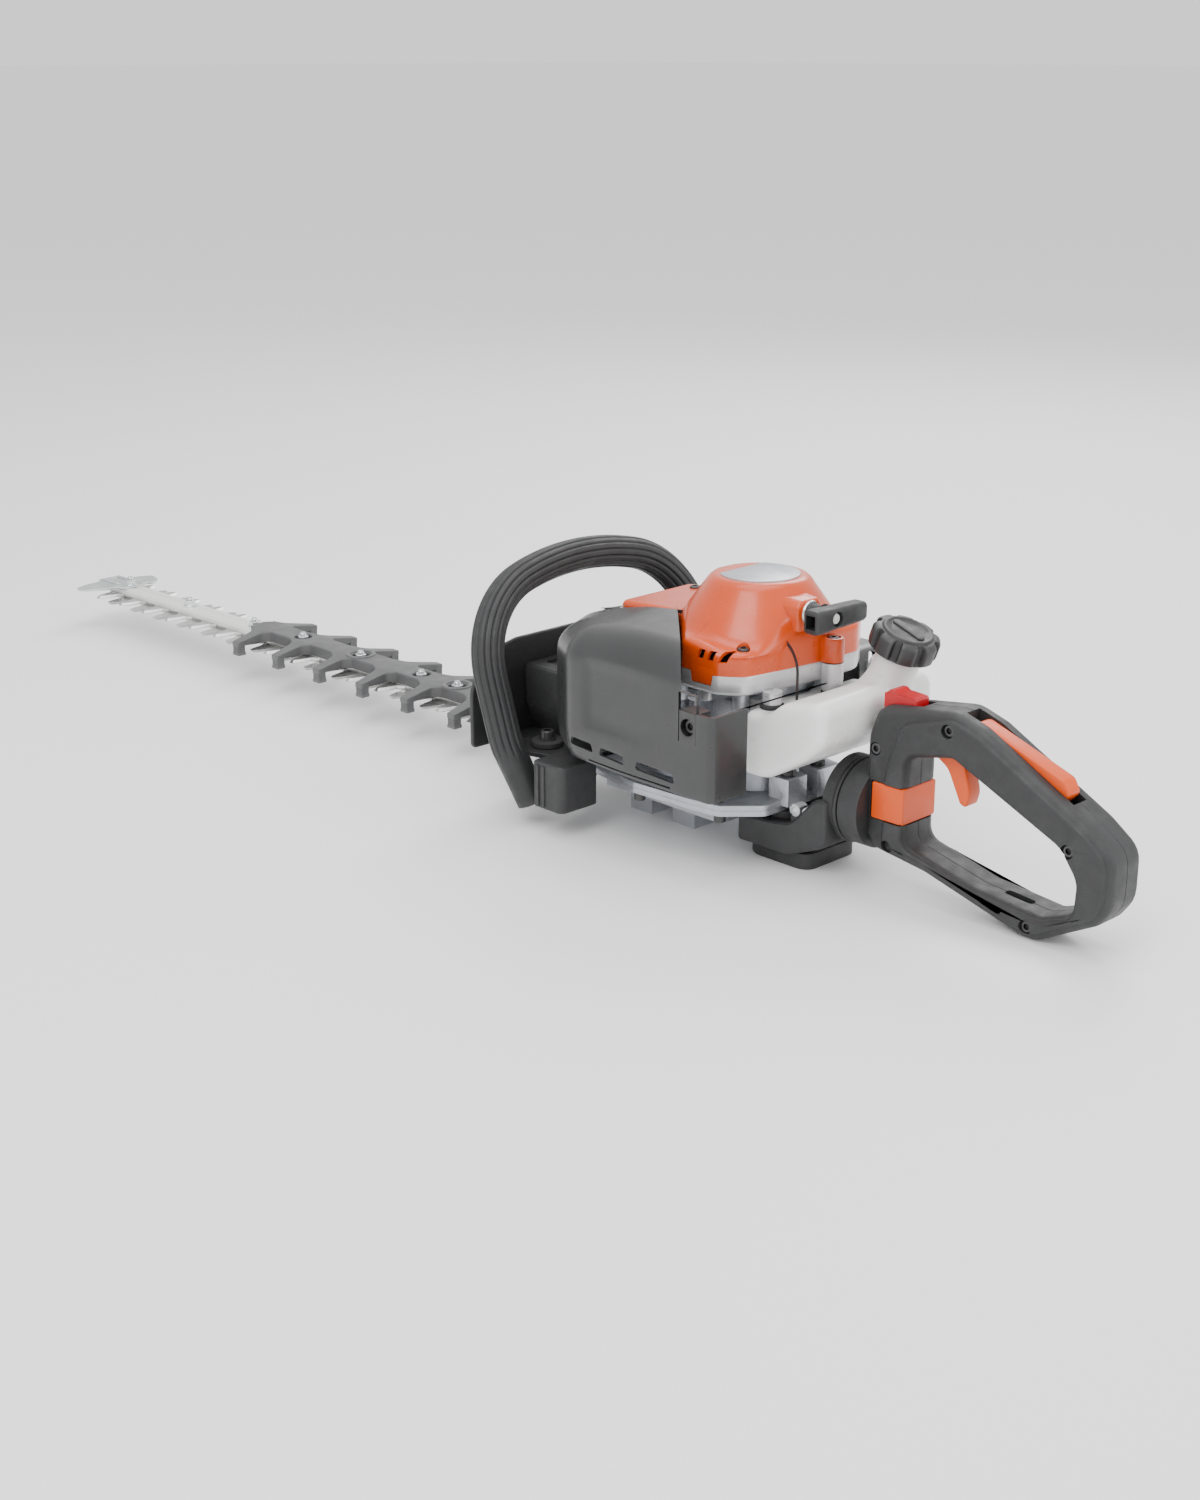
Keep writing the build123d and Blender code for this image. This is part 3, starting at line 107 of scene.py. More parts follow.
def finish(name, base, rough, metallic=0.0, grain=900.0, bump=0.08, blotch=40.0, shade=0.12, wear_and_highlight=0.25,
           wear_and_highlight_tint=None, stretch=(1, 1, 1), milky=0.0, coat=0.0, speckle=False):
    """A procedural surface: random tone variation, mottled roughness, fine grain in the bump, edges lightened
    partly as wear and partly as a painted highlight, creases darkened as painted shade.
    """
    material = bpy.data.materials.get(name)
    if material:
        return material
    material = bpy.data.materials.new(name)
    material.use_nodes = True
    nodes, links = material.node_tree.nodes, material.node_tree.links
    shader = nodes["Principled BSDF"]
    shader.inputs["Metallic"].default_value = metallic
    node_input(shader, ("Coat Weight",), coat)
    node_input(shader, ("Coat Roughness",), 0.12)
    where = nodes.new("ShaderNodeTexCoord")
    mapping = nodes.new("ShaderNodeMapping")
    mapping.inputs["Scale"].default_value = stretch
    links.new(where.outputs["Object"], mapping.inputs["Vector"])

    def noise(scale, detail):
        texture = nodes.new("ShaderNodeTexNoise")
        texture.inputs["Scale"].default_value = scale
        texture.inputs["Detail"].default_value = detail
        links.new(mapping.outputs["Vector"], texture.inputs["Vector"])
        return texture.outputs["Fac"]

    def ramp(source, low, high, start=0.3, end=0.7):
        band = nodes.new("ShaderNodeMapRange")
        band.inputs["From Min"].default_value = start
        band.inputs["From Max"].default_value = end
        band.inputs["To Min"].default_value = low
        band.inputs["To Max"].default_value = high
        links.new(source, band.inputs["Value"])
        return band.outputs["Result"]

    def mix(factor, first, second):
        blend = nodes.new("ShaderNodeMix")
        blend.data_type = "RGBA"
        links.new(factor, blend.inputs[0])
        for socket, value in ((blend.inputs[6], first), (blend.inputs[7], second)):
            if isinstance(value, bpy.types.NodeSocket):
                links.new(value, socket)
            else:
                socket.default_value = (*value, 1.0)
        return blend.outputs[2]

    dark = tuple(c * (1 - shade) for c in base)
    light = tuple(min(1.0, c * (1 + shade)) for c in base)
    cloud = noise(blotch, 4.0)
    tint = mix(ramp(cloud, 0.0, 1.0), dark, light)
    edges = nodes.new("ShaderNodeNewGeometry")
    # Convex edges are lightened towards a paler tint: partly wear, partly a painted highlight along the
    # edges.
    worn_and_highlit_edges = ramp(edges.outputs["Pointiness"], 0.0, wear_and_highlight, 0.505, 0.56)
    tint = mix(worn_and_highlit_edges, tint, wear_and_highlight_tint or tuple(min(1.0, c * 1.9 + 0.02) for c in base))
    # Concave creases are darkened towards 0.45 of the base colour: painted shade.
    crease_shade = ramp(edges.outputs["Pointiness"], 0.35, 0.0, 0.44, 0.495)
    tint = mix(crease_shade, tint, tuple(c * 0.45 for c in base))
    links.new(tint, shader.inputs["Base Color"])
    links.new(ramp(noise(blotch * 3.1, 5.0), max(0.03, rough * 0.82), min(1.0, rough * 1.2)),
              shader.inputs["Roughness"])
    relief = noise(grain, 3.0)
    if speckle:
        cells = nodes.new("ShaderNodeTexVoronoi")
        cells.inputs["Scale"].default_value = grain * 0.8
        links.new(mapping.outputs["Vector"], cells.inputs["Vector"])
        relief = cells.outputs["Distance"]
    height = nodes.new("ShaderNodeBump")
    height.inputs["Strength"].default_value = bump
    height.inputs["Distance"].default_value = 0.0006
    links.new(relief, height.inputs["Height"])
    links.new(height.outputs["Normal"], shader.inputs["Normal"])
    if milky:
        node_input(shader, ("Subsurface Weight",), milky)
        node_input(shader, ("Subsurface Radius",), (0.010, 0.011, 0.011))
        node_input(shader, ("Subsurface Scale",), 1.0)
    return material


def finishes():
    """Every finish by the name of its material slot."""
    c = bpy.context.scene.trimmer_colours
    black = (0.016, 0.016, 0.017)
    # Every finish lightens its edges, partly as wear and partly as a painted highlight, and darkens its
    # creases as painted shade; the tuple after the edge amount is the lightened edge colour.
    return {
        "steel": finish("ground_steel", tuple(c.steel), 0.30, 0.95, 500, 0.10, 60, 0.18, 0.5,
                        (0.85, 0.85, 0.84), (0.15, 6, 1)),
        "dark_steel": finish("dark_steel", (0.20, 0.20, 0.21), 0.42, 0.9, 700, 0.12, 50, 0.25, 0.4),
        "zinc": finish("zinc_plate", tuple(c.zinc), 0.27, 0.9, 600, 0.08, 90, 0.14, 0.3),
        "rail": finish("bright_rail", tuple(c.rail), 0.33, 0.35, 420, 0.10, 30, 0.07, 0.3,
                       (0.95, 0.95, 0.94), (0.1, 5, 3)),
        "cast": finish("cast_metal", tuple(c.cast), 0.38, 0.75, 850, 0.30, 55, 0.12, 0.4,
                       (0.75, 0.76, 0.78), speckle=True),
        "silver": finish("silver_paint", tuple(c.silver), 0.33, 0.55, 900, 0.12, 45, 0.06, 0.3),
        "black_bolt": finish("black_oxide", black, 0.34, 0.5, 800, 0.15, 80, 0.3, 0.5, (0.12, 0.12, 0.12)),
        "charcoal": finish("charcoal_nylon", tuple(c.charcoal), 0.52, 0.0, 1500, 0.30, 35, 0.10, 0.30,
                           speckle=True),
        "cover_grey": finish("satin_grey", tuple(c.cover_grey), 0.33, 0.0, 1300, 0.10, 30, 0.08, 0.25,
                             coat=0.10),
        "orange": finish("orange_paint", tuple(c.orange), 0.30, 0.0, 1000, 0.06, 28, 0.05, 0.10, coat=0.25),
        "bright_orange": finish("lever_orange", tuple(c.lever_orange), 0.40, 0.0, 1300, 0.16, 30, 0.06, 0.12),
        "red": finish("switch_red", tuple(c.red), 0.34, 0.0, 1200, 0.12, 40, 0.08, 0.2),
        "tank": finish("milky_tank", tuple(c.tank), 0.30, 0.0, 700, 0.08, 22, 0.04, 0.1, milky=0.55),
        "black": finish("black_nylon", black, 0.45, 0.0, 1400, 0.28, 40, 0.15, 0.4, (0.08, 0.08, 0.08)),
        "rubber": finish("rubber", (0.020, 0.020, 0.020), 0.62, 0.0, 1100, 0.35, 45, 0.2, 0.3),
        "badge": finish("satin_badge", (0.42, 0.43, 0.46), 0.32, 0.6, 700, 0.06, 60, 0.06, 0.3,
                        stretch=(0.3, 5, 1)),
        "foam": finish("open_foam", (0.10, 0.10, 0.10), 0.9, 0.0, 420, 0.9, 60, 0.3, 0.2, speckle=True),
        "ceramic": finish("glazed_ceramic", (0.84, 0.84, 0.81), 0.15, 0.0, 500, 0.03, 30, 0.03, 0.1,
                          coat=0.6),
        "rope": finish("braided_rope", (0.62, 0.62, 0.60), 0.8, 0.0, 1600, 0.9, 200, 0.2, 0.2, speckle=True),
        "clear": finish("clear_moulding", (0.46, 0.48, 0.50), 0.16, 0.25, 600, 0.05, 60, 0.25, 0.5, coat=0.7),
        "graphite": finish("graphite_top", (0.085, 0.086, 0.088), 0.45, 0.0, 1500, 0.28, 35, 0.1, 0.3,
                           speckle=True),
    }


# ---- outlines, in millimetres from the engine axis

def flat(a, b, h):
    """A layer lies level."""
    return Vector((a, b, h))


def side(a, b, h):
    """A layer stands fore and aft: a runs along the machine, b up."""
    return Vector((a, h, b))


def front(a, b, h):
    """A layer stands across the machine: a runs across, b up."""
    return Vector((h, a, b))


def rounded(points, radius, steps=6):
    """A closed outline with its corners turned into arcs; radius is one value or one for each corner."""
    out = []
    for i, point in enumerate(points):
        r = radius[i] if isinstance(radius, (list, tuple)) else radius
        corner = Vector(point)
        back, ahead = Vector(points[i - 1]) - corner, Vector(points[(i + 1) % len(points)]) - corner
        span = min(back.length, ahead.length)
        back.normalize(), ahead.normalize()
        angle = acos(max(-1.0, min(1.0, back.dot(ahead))))
        if r <= 0 or angle > pi - 0.03 or angle < 0.02:
            out.append(corner)
            continue
        cut = min(r / tan(angle / 2), 0.48 * span)
        r = cut * tan(angle / 2)
        centre = corner + (back + ahead).normalized() * cut / cos(angle / 2)
        first, last = corner + back * cut - centre, corner + ahead * cut - centre
        start = atan2(first.y, first.x)
        sweep = (atan2(last.y, last.x) - start + pi) % (2 * pi) - pi
        count = max(2, round(steps * abs(sweep) / (pi / 2)))
        out += [centre + r * Vector((cos(start + sweep * k / count), sin(start + sweep * k / count)))
                for k in range(count + 1)]
    return out


def signed_area(points):
    """Positive for an outline that runs counter-clockwise."""
    return sum(p[0] * q[1] - q[0] * p[1] for p, q in zip(points, points[1:] + points[:1])) / 2


def inset(points, depth):
    """The outline moved inward by depth, point for point."""
    way = 1 if signed_area(points) > 0 else -1
    out = []
    for i, point in enumerate(points):
        here = Vector(point)
        back, ahead = here - Vector(points[i - 1]), Vector(points[(i + 1) % len(points)]) - here
        if back.length < 1e-6 or ahead.length < 1e-6:
            back = ahead = back if back.length > ahead.length else ahead
        first = Vector((-back.y, back.x)).normalized()
        second = Vector((-ahead.y, ahead.x)).normalized()
        out.append(here + (first + second) * way * depth / max(0.35, 1 + first.dot(second)))
    return out


def oblong(low, high, radius):
    """A rectangle between two corners, with round corners."""
    return rounded([low, (high[0], low[1]), high, (low[0], high[1])], radius)


def circle(x, y, radius, count=32):
    """A round outline."""
    return [Vector((x + radius * cos(2 * pi * k / count), y + radius * sin(2 * pi * k / count)))
            for k in range(count)]


def resampled(points, step):
    """The outline with long edges divided."""
    out = []
    for p, q in zip(points, points[1:] + points[:1]):
        p, q = Vector(p), Vector(q)
        count = max(1, round((q - p).length / step))
        out += [p.lerp(q, k / count) for k in range(count)]
    return out


def mirrored(points):
    """Close a half outline, given on one side, with its mirror image."""
    return [tuple(p) for p in points] + [(p[0], -p[1]) for p in reversed(points)]


# ---- solids, in millimetres from the engine axis

def prism(layers, lay=flat):
    """A closed solid through layers of (height, [outline, holes...]) that match point for point."""
    shape = bmesh.new()
    rings = [[[shape.verts.new(lay(p[0], p[1], height)) for p in outline] for outline in outlines]
             for height, outlines in layers]
    for low, high in zip(rings, rings[1:]):
        for a, b in zip(low, high):
            for i in range(len(a)):
                j = (i + 1) % len(a)
                shape.faces.new((a[i], a[j], b[j], b[i]))
    for end in (rings[0], rings[-1]):
        edges = [shape.edges.get((ring[i],
                                  ring[(i + 1) % len(ring)])) for ring in end for i in range(len(ring))]
        bmesh.ops.triangle_fill(shape, use_beauty=True, use_dissolve=False, edges=edges)
    bmesh.ops.recalc_face_normals(shape, faces=shape.faces)
    return shape


def bar(outlines, low, high, lay=flat):
    """A straight solid between two heights."""
    return prism([(low, outlines), (high, outlines)], lay)


def slab(outline, low, high, edge=0.6, holes=(), lay=flat, steps=3):
    """A plate between two heights with rounded rims; edge is one radius or (low rim, high rim)."""
    below, above = edge if isinstance(edge, tuple) else (edge, edge)
    layers = []
    for rim, height, way in ((below, low, 1), (above, high, -1)):
        part = []
        for k in range(steps + 1):
            turn = pi / 2 * k / steps
            depth, rise = rim * (1 - sin(turn)), rim * (1 - cos(turn))
            part.append((height + way * rise, [inset(outline, depth)] + [inset(h, -depth) for h in holes]))
        layers += part if way == 1 else part[::-1]
    return prism(layers, lay)


def loft(rings, closed=False):
    """A skin through rings of points, capped at its ends unless it closes on itself."""
    shape = bmesh.new()
    loops = [[shape.verts.new(p) for p in ring] for ring in rings]
    for a, b in zip(loops, loops[1:] + (loops[:1] if closed else [])):
        for i in range(len(a)):
            j = (i + 1) % len(a)
            shape.faces.new((a[i], a[j], b[j], b[i]))
    if not closed:
        for ring in (loops[0], loops[-1]):
            shape.faces.new(ring)
    bmesh.ops.recalc_face_normals(shape, faces=shape.faces)
    return shape


def lathe(profile, place, axis=(0, 0, 1), count=40):
    """A turned solid; the profile is (radius, height) from one end to the other."""
    turn = Vector((0, 0, 1)).rotation_difference(Vector(axis))
    rings = [[turn @ Vector((max(r, 0.01) * cos(2 * pi * k / count), max(r, 0.01) * sin(2 * pi * k / count),
                             h))
              + Vector(place) for k in range(count)] for r, h in profile]
    return loft(rings)


def joined(*shapes):
    """One mesh that holds several solids."""
    whole = bmesh.new()
    for shape in shapes:
        mesh = bpy.data.meshes.new("part")
        shape.to_mesh(mesh)
        shape.free()
        whole.from_mesh(mesh)
        bpy.data.meshes.remove(mesh)
    return whole


def worked(shape, kind, tool=None, **settings):
    """The shape after one modifier, such as a cut with a tool."""
    objects = []
    for source in (shape, tool):
        if source:
            mesh = bpy.data.meshes.new("work")
            source.to_mesh(mesh)
            source.free()
            objects.append(bpy.data.objects.new("work", mesh))
            bpy.context.scene.collection.objects.link(objects[-1])
    modifier = objects[0].modifiers.new("work", kind)
    if tool:
        modifier.object = objects[1]
    for name, value in settings.items():
        setattr(modifier, name, value)
    bpy.context.view_layer.update()
    mesh = bpy.data.meshes.new_from_object(objects[0].evaluated_get(bpy.context.evaluated_depsgraph_get()))
    result = bmesh.new()
    result.from_mesh(mesh)
    bpy.data.meshes.remove(mesh)
    for thing in objects:
        data = thing.data
        bpy.data.objects.remove(thing)
        bpy.data.meshes.remove(data)
    return result


def cut(shape, *tools):
    """The shape with tools taken away."""
    return worked(shape, "BOOLEAN", joined(*tools), operation="DIFFERENCE", solver="EXACT",
                  use_self=len(tools) > 1)


def fused(shape, *tools):
    """The shape grown together with others."""
    return worked(shape, "BOOLEAN", joined(*tools), operation="UNION", solver="EXACT",
                  use_self=len(tools) > 1)


def moulded(shape, voxel=1.6, rounds=10):
    """The shape as one soft skin, like a blow-moulded or cast part."""
    shape = worked(shape, "REMESH", mode="VOXEL", voxel_size=voxel)
    return worked(shape, "SMOOTH", factor=0.5, iterations=rounds)


def piece(name, shape, slot, body="engine_unit", nodes=(), material=None, angle=32):
    """Put a finished shape in the scene, on its body, with its finish."""
    bmesh.ops.remove_doubles(shape, verts=shape.verts, dist=1e-4)
    bmesh.ops.dissolve_degenerate(shape, dist=1e-4, edges=shape.edges)
    bmesh.ops.recalc_face_normals(shape, faces=shape.faces)
    for vertex in shape.verts:
        vertex.co = Vector((vertex.co.x / 1000 + ENGINE, vertex.co.y / 1000, vertex.co.z / 1000))
    mesh = bpy.data.meshes.new(name)
    shape.to_mesh(mesh)
    shape.free()
    return placed(name, mesh, slot, body, nodes, material, angle)


def placed(name, mesh, slot, body, nodes, material=None, angle=32):
    """Link a mesh in metres as a piece."""
    mesh.materials.clear()
    mesh.materials.append(finishes()[material or slot])
    mesh.shade_smooth()
    mesh.set_sharp_from_angle(angle=radians(angle))
    thing = bpy.data.objects.new(name, mesh)
    bpy.context.scene.collection.objects.link(thing)
    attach(thing, body)
    if nodes:
        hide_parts(*nodes)
    return thing


def refined(node, slot, body="engine_unit", edge=None, material=None):
    """A part that keeps its functional shape, with its sharp edges broken."""
    shape = bmesh.new()
    shape.from_mesh(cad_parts[node].data)
    bmesh.ops.remove_doubles(shape, verts=shape.verts, dist=1e-6)
    bmesh.ops.dissolve_limit(shape, angle_limit=radians(1.0), verts=shape.verts, edges=shape.edges)
    width = bpy.context.scene.trimmer_sizes.edge_round if edge is None else edge / 1000
    shape = worked(shape, "BEVEL", width=width, segments=2, limit_method="ANGLE", angle_limit=radians(35),
                   use_clamp_overlap=True)
    mesh = bpy.data.meshes.new(node + "_skin")
    shape.to_mesh(mesh)
    shape.free()
    return placed(node + "_skin", mesh, slot, body, (node,), material)


def smooth_step(value, low, high):
    """0 below low, 1 above high, easing between."""
    t = max(0.0, min(1.0, (value - low) / (high - low)))
    return t * t * (3 - 2 * t)


def box_tool(low, high, edge=0.0):
    """A block between two corners, to cut with or to add."""
    outline = [(low[0], low[1]), (high[0], low[1]), (high[0], high[1]), (low[0], high[1])]
    if edge:
        outline = rounded(outline, edge)
    return bar([outline], low[2], high[2])


def socket_screw(place, axis, radius, height):
    """A cap screw with a socket and a chamfered rim."""
    drive = radius * 0.52
    return lathe([(0, 0), (radius, 0), (radius, height - 0.6), (radius - 0.6, height), (drive, height),
                  (drive * 0.92, height - 1.6), (0, height - 1.8)], place, axis, 24)


# ---- blades and rail

BARE_STUDS = (-832.0, -727.0, -621.0)
GUARD_STUDS = (-546.0, -462.0, -379.0, -332.0)


class TRIMMER_OT_blades(bpy.types.Operator):
    """Two reciprocating blades with ground teeth"""
    bl_idname = "trimmer.blades"
    bl_label = "Blades"

    def execute(self, context):
        grind = context.scene.trimmer_sizes.ground_edge * 1000
        yoke = oblong((-90.8, -30.8), (-9.2, 30.8), 6)
        window = oblong((-83.8, -23.8), (-16.2, 23.8), 5)
        slots = [oblong((x - 13.6, -3.1), (x + 13.6, 3.1), 3.0) for x in BARE_STUDS + GUARD_STUDS]
        for name, base, shift, way in (("upper_blade", 29.9, 0, 1), ("lower_blade", 27.2, 20, -1)):
            half = [(-857, 6), (-854, 11)]
            for number in range(15):
                x = -840 + shift + 40 * number
                half += [(x - 12, 11), (x - 7.6, 15.5), (x - 4.7, 28.5), (x - 2.4, 33), (x + 2.4, 33),
                         (x + 4.7, 28.5), (x + 7.6, 15.5), (x + 12, 11)]
            half += [(-91, 11)]
            outline = mirrored(half)
            ground = [p if abs(q[1]) < 12 else inner for p, q, inner in
                      zip([Vector(o) for o in outline], outline, inset(outline, grind))]
            sharp = 0.5 if way > 0 else 2.1
            layers = [(base, [outline if way > 0 else ground] + slots),
                      (base + sharp, [outline] + slots),
                      (base + 2.6, [ground if way > 0 else outline] + slots)]
            strip = prism(layers)
            drive = bar([yoke, window], base, base + 2.6)
            piece(name + "_skin", fused(strip, drive), "steel", name, (name,), angle=18)
        return {"FINISHED"}


class TRIMMER_OT_rail(bpy.types.Operator):
    """Bright guide rail with chamfered flanks"""
    bl_idname = "trimmer.rail"
    bl_label = "Guide Rail"

    def execute(self, context):
        section = [(-11, 32.6), (11, 32.6), (11, 36.0), (8.6, 38), (3.4, 38), (3.0, 37.7), (-3.0, 37.7),
                   (-3.4, 38), (-8.6, 38), (-11, 36.0)]
        piece("rail_skin", slab(section, -868, -109.8, 0.3, lay=front), "rail", nodes=("guide_rail",),
              angle=20)
        return {"FINISHED"}


class TRIMMER_OT_tip_plate(bpy.types.Operator):
    """Stamped plate with two lobes over the first teeth"""
    bl_idname = "trimmer.tip_plate"
    bl_label = "Tip Plate"

    def execute(self, context):
        outline = [(-873, -12), (-865, -14), (-862, -34), (-857, -46), (-850, -48.5), (-844, -44),
                   (-836, -30),
                   (-831, -13), (-825, -11), (-825, 11), (-828, 14), (-824, 24), (-834, 33), (-850, 37),
                   (-855, 26), (-858, 13), (-873, 11)]
        plate = slab(rounded(outline, [3, 4, 5, 5, 4, 5, 5, 3, 2, 2, 3, 5, 5, 5, 8, 4, 3]), 38, 40, 0.4,
                     [circle(-866, 6, 1.6, 16), circle(-866, -6, 1.6, 16)])
        ribs = [slab(oblong((-870, y - 1.6), (-840, y + 1.6), 1.5), 39.5, 41.2, (0, 0.9)) for y in (-9, 9)]
        piece("tip_plate_skin", fused(plate, *ribs), "zinc", nodes=("tip_plate",), angle=25)
        return {"FINISHED"}


class TRIMMER_OT_rail_studs(bpy.types.Operator):
    """Threaded studs with flange nuts along the rail"""
    bl_idname = "trimmer.rail_studs"
    bl_label = "Studs and Nuts"

    def execute(self, context):
        pitch = context.scene.trimmer_sizes.thread_pitch * 1000
        seats = [40.0, 38.0, 38.0] + [38.8] * 4
        threads, nuts = [], []
        for x, seat in zip(BARE_STUDS + GUARD_STUDS, seats):
            top = seat + 8.0
            profile = [(0, 23.7), (4.9, 23.7), (5.5, 24.3), (5.5, 27.1), (2.9, 27.1), (2.9, seat)]
            height = seat
            while height < top - 1.3:
                profile += [(2.45, height + pitch * 0.15), (3.0, height + pitch * 0.5),
                            (3.0, height + pitch * 0.65)]
                height += pitch
            profile += [(2.45, top - 0.8), (2.2, top), (0, top)]
            threads.append(lathe(profile, (x, 0, 0), count=24))
            nuts.append(lathe([(3.05, seat), (6.3, seat), (6.5, seat + 0.5), (6.2, seat + 1.0),
                               (4.9, seat + 1.6),
                               (4.7, seat + 1.7), (3.05, seat + 1.7)], (x, 0, 0), count=32))
            hexagon = [Vector((x + 5.0 * cos(pi / 3 * k + 0.3 * x), 5.0 * sin(pi / 3 * k + 0.3 * x)))
                       for k in range(6)]
            nuts.append(slab(resampled(hexagon, 2.6), seat + 1.2, seat + 5, (0, 0.7),
                             [circle(x, 0, 3.05, 24)]))
        piece("stud_threads", joined(*threads), "zinc", nodes=("rail_bolts",))
        piece("flange_nuts", joined(*nuts), "zinc", nodes=("rail_nuts",))
        return {"FINISHED"}


class TRIMMER_OT_finger_guard(bpy.types.Operator):
    """Moulded guard with six pairs of fingers over the teeth"""
    bl_idname = "trimmer.finger_guard"
    bl_label = "Finger Guard"

    def execute(self, context):
        half, radii = [(-613, 5), (-607, 12.2)], [3, 3]
        for number in range(6):
            x = -593 + 60 * number
            half += [(x - 17, 12.2), (x - 6, 17), (x - 3, 30), (x, 45), (x + 9, 45), (x + 8, 30), (x + 8, 18),
                     (x + 15, 12.2)]
            radii += [4, 11, 20, 1.5, 1.5, 20, 5, 5]
        half += [(-215, 12.2)]
        radii += [2]
        outline = rounded(mirrored(half), radii + radii[::-1], 7)
        body = slab(outline, 33.6, 43.2, (0.3, 1.4), steps=4)
        for vertex in body.verts:
            across = abs(vertex.co.y)
            share = (vertex.co.z - 33.6) / 9.6
            vertex.co.z -= share * 0.17 * max(0.0, across - 12)
        ends = []
        for number in range(6):
            for way in (-1, 1):
                x = -593 + 60 * number + 4.5
                flare = rounded([(x - 4.9, way * 36), (x - 4.9, way * 45), (x + 4.9, way * 45),
                                 (x + 4.9, way * 36)], 1.6)
                neck = inset(flare, 0.55)
                ends.append(prism([(25.2, [inset(flare, 0.5)]), (25.7, [flare]), (27.2, [flare]),
                                   (28.6, [neck]),
                                   (36.5, [neck])]))
        collars = [lathe([(9.0, 42.0), (12.9, 42.0), (12.9, 43.6), (12.3, 44.3), (11.0, 44.3), (9.6, 43.8),
                          (9.0, 42.4)], (x, 0, 0), count=40) for x in (-462.0, -332.0)]
        body = fused(body, *ends, *collars)
        channel = box_tool((-620, -11.1, 30), (-210, 11.1, 38.0))
        dishes = [lathe([(0, 38.8), (8.0, 38.8), (8.0, 42.2), (9.3, 43.6), (9.3, 46), (0, 46)], (x, 0, 0),
                        count=36)
                  for x in GUARD_STUDS]
        body = cut(body, channel, *dishes)
        piece("finger_guard_skin", body, "charcoal", nodes=("finger_guard",), material="graphite", angle=40)
        return {"FINISHED"}


# ---- front end

class TRIMMER_OT_front_handle(bpy.types.Operator):
    """Bow handle with lengthwise grooves and smooth boots at its feet"""
    bl_idname = "trimmer.front_handle"
    bl_label = "Front Handle"

    def execute(self, context):
        sizes = context.scene.trimmer_sizes
        depth, ribs = sizes.rib_depth * 1000, sizes.rib_count
        crown_angle, corner = radians(15), 70.0
        crown = (110 - corner + corner * sin(crown_angle)) / sin(crown_angle)
        shoulder = 162.4 - corner * cos(crown_angle) - crown * (1 - cos(crown_angle))
        ankle = (-110 + 60 * (1 - cos(crown_angle)), 46 - 60 * sin(crown_angle))
        heading = pi / 2 + crown_angle
        spot = Vector(ankle) - 40 * Vector((cos(heading), sin(heading)))
        path = [(spot.copy(), heading)]
        for kind, size, turn in (("run", 40, 0), ("bend", 60, -crown_angle), ("run", shoulder - 46, 0),
                                 ("bend", corner, crown_angle - pi / 2), ("bend", crown, -2 * crown_angle),
                                 ("bend", corner, crown_angle - pi / 2), ("run", shoulder - 46, 0),
                                 ("bend", 60, -crown_angle), ("run", 40, 0)):
            steps = max(2, round((size if kind == "run" else size * abs(turn)) / 3.5))
            for _ in range(steps):
                if kind == "run":
                    spot += Vector((cos(heading), sin(heading))) * size / steps
                else:
                    bit = turn / steps
                    spot += Vector((cos(heading + bit / 2),
                                    sin(heading + bit / 2))) * 2 * size * sin(abs(bit) / 2)
                    heading += bit
                path.append((spot.copy(), heading))
        rise = Vector((-0.34, 0, 1)).normalized()
        out = Vector((1, 0, 0.34)).normalized()
        rings, count = [], 12 * ribs
        for spot, heading in path:
            centre = Vector((-135, 0, 25)) + Vector((0, spot.x, 0)) + rise * spot.y
            normal = Vector((0, -sin(heading), 0)) + rise * cos(heading)
            grip = smooth_step(centre.z, 52, 58)
            collar = 0.7 * exp(-((centre.z - 49) / 2.0) ** 2)
            ring = []
            for k in range(count):
                turn = 2 * pi * k / count
                phase = (turn * ribs / (2 * pi)) % 1.0
                groove = exp(-((phase - 0.5) / 0.15) ** 2)
                radius = 12.5 - 0.5 * (1 - grip) + collar * 0.5 - depth * groove * grip
                ring.append(centre + radius * (normal * cos(turn) + out * sin(turn)))
            rings.append(ring)
        piece("front_handle_skin", loft(rings), "charcoal", nodes=("front_handle",), angle=60)
        return {"FINISHED"}


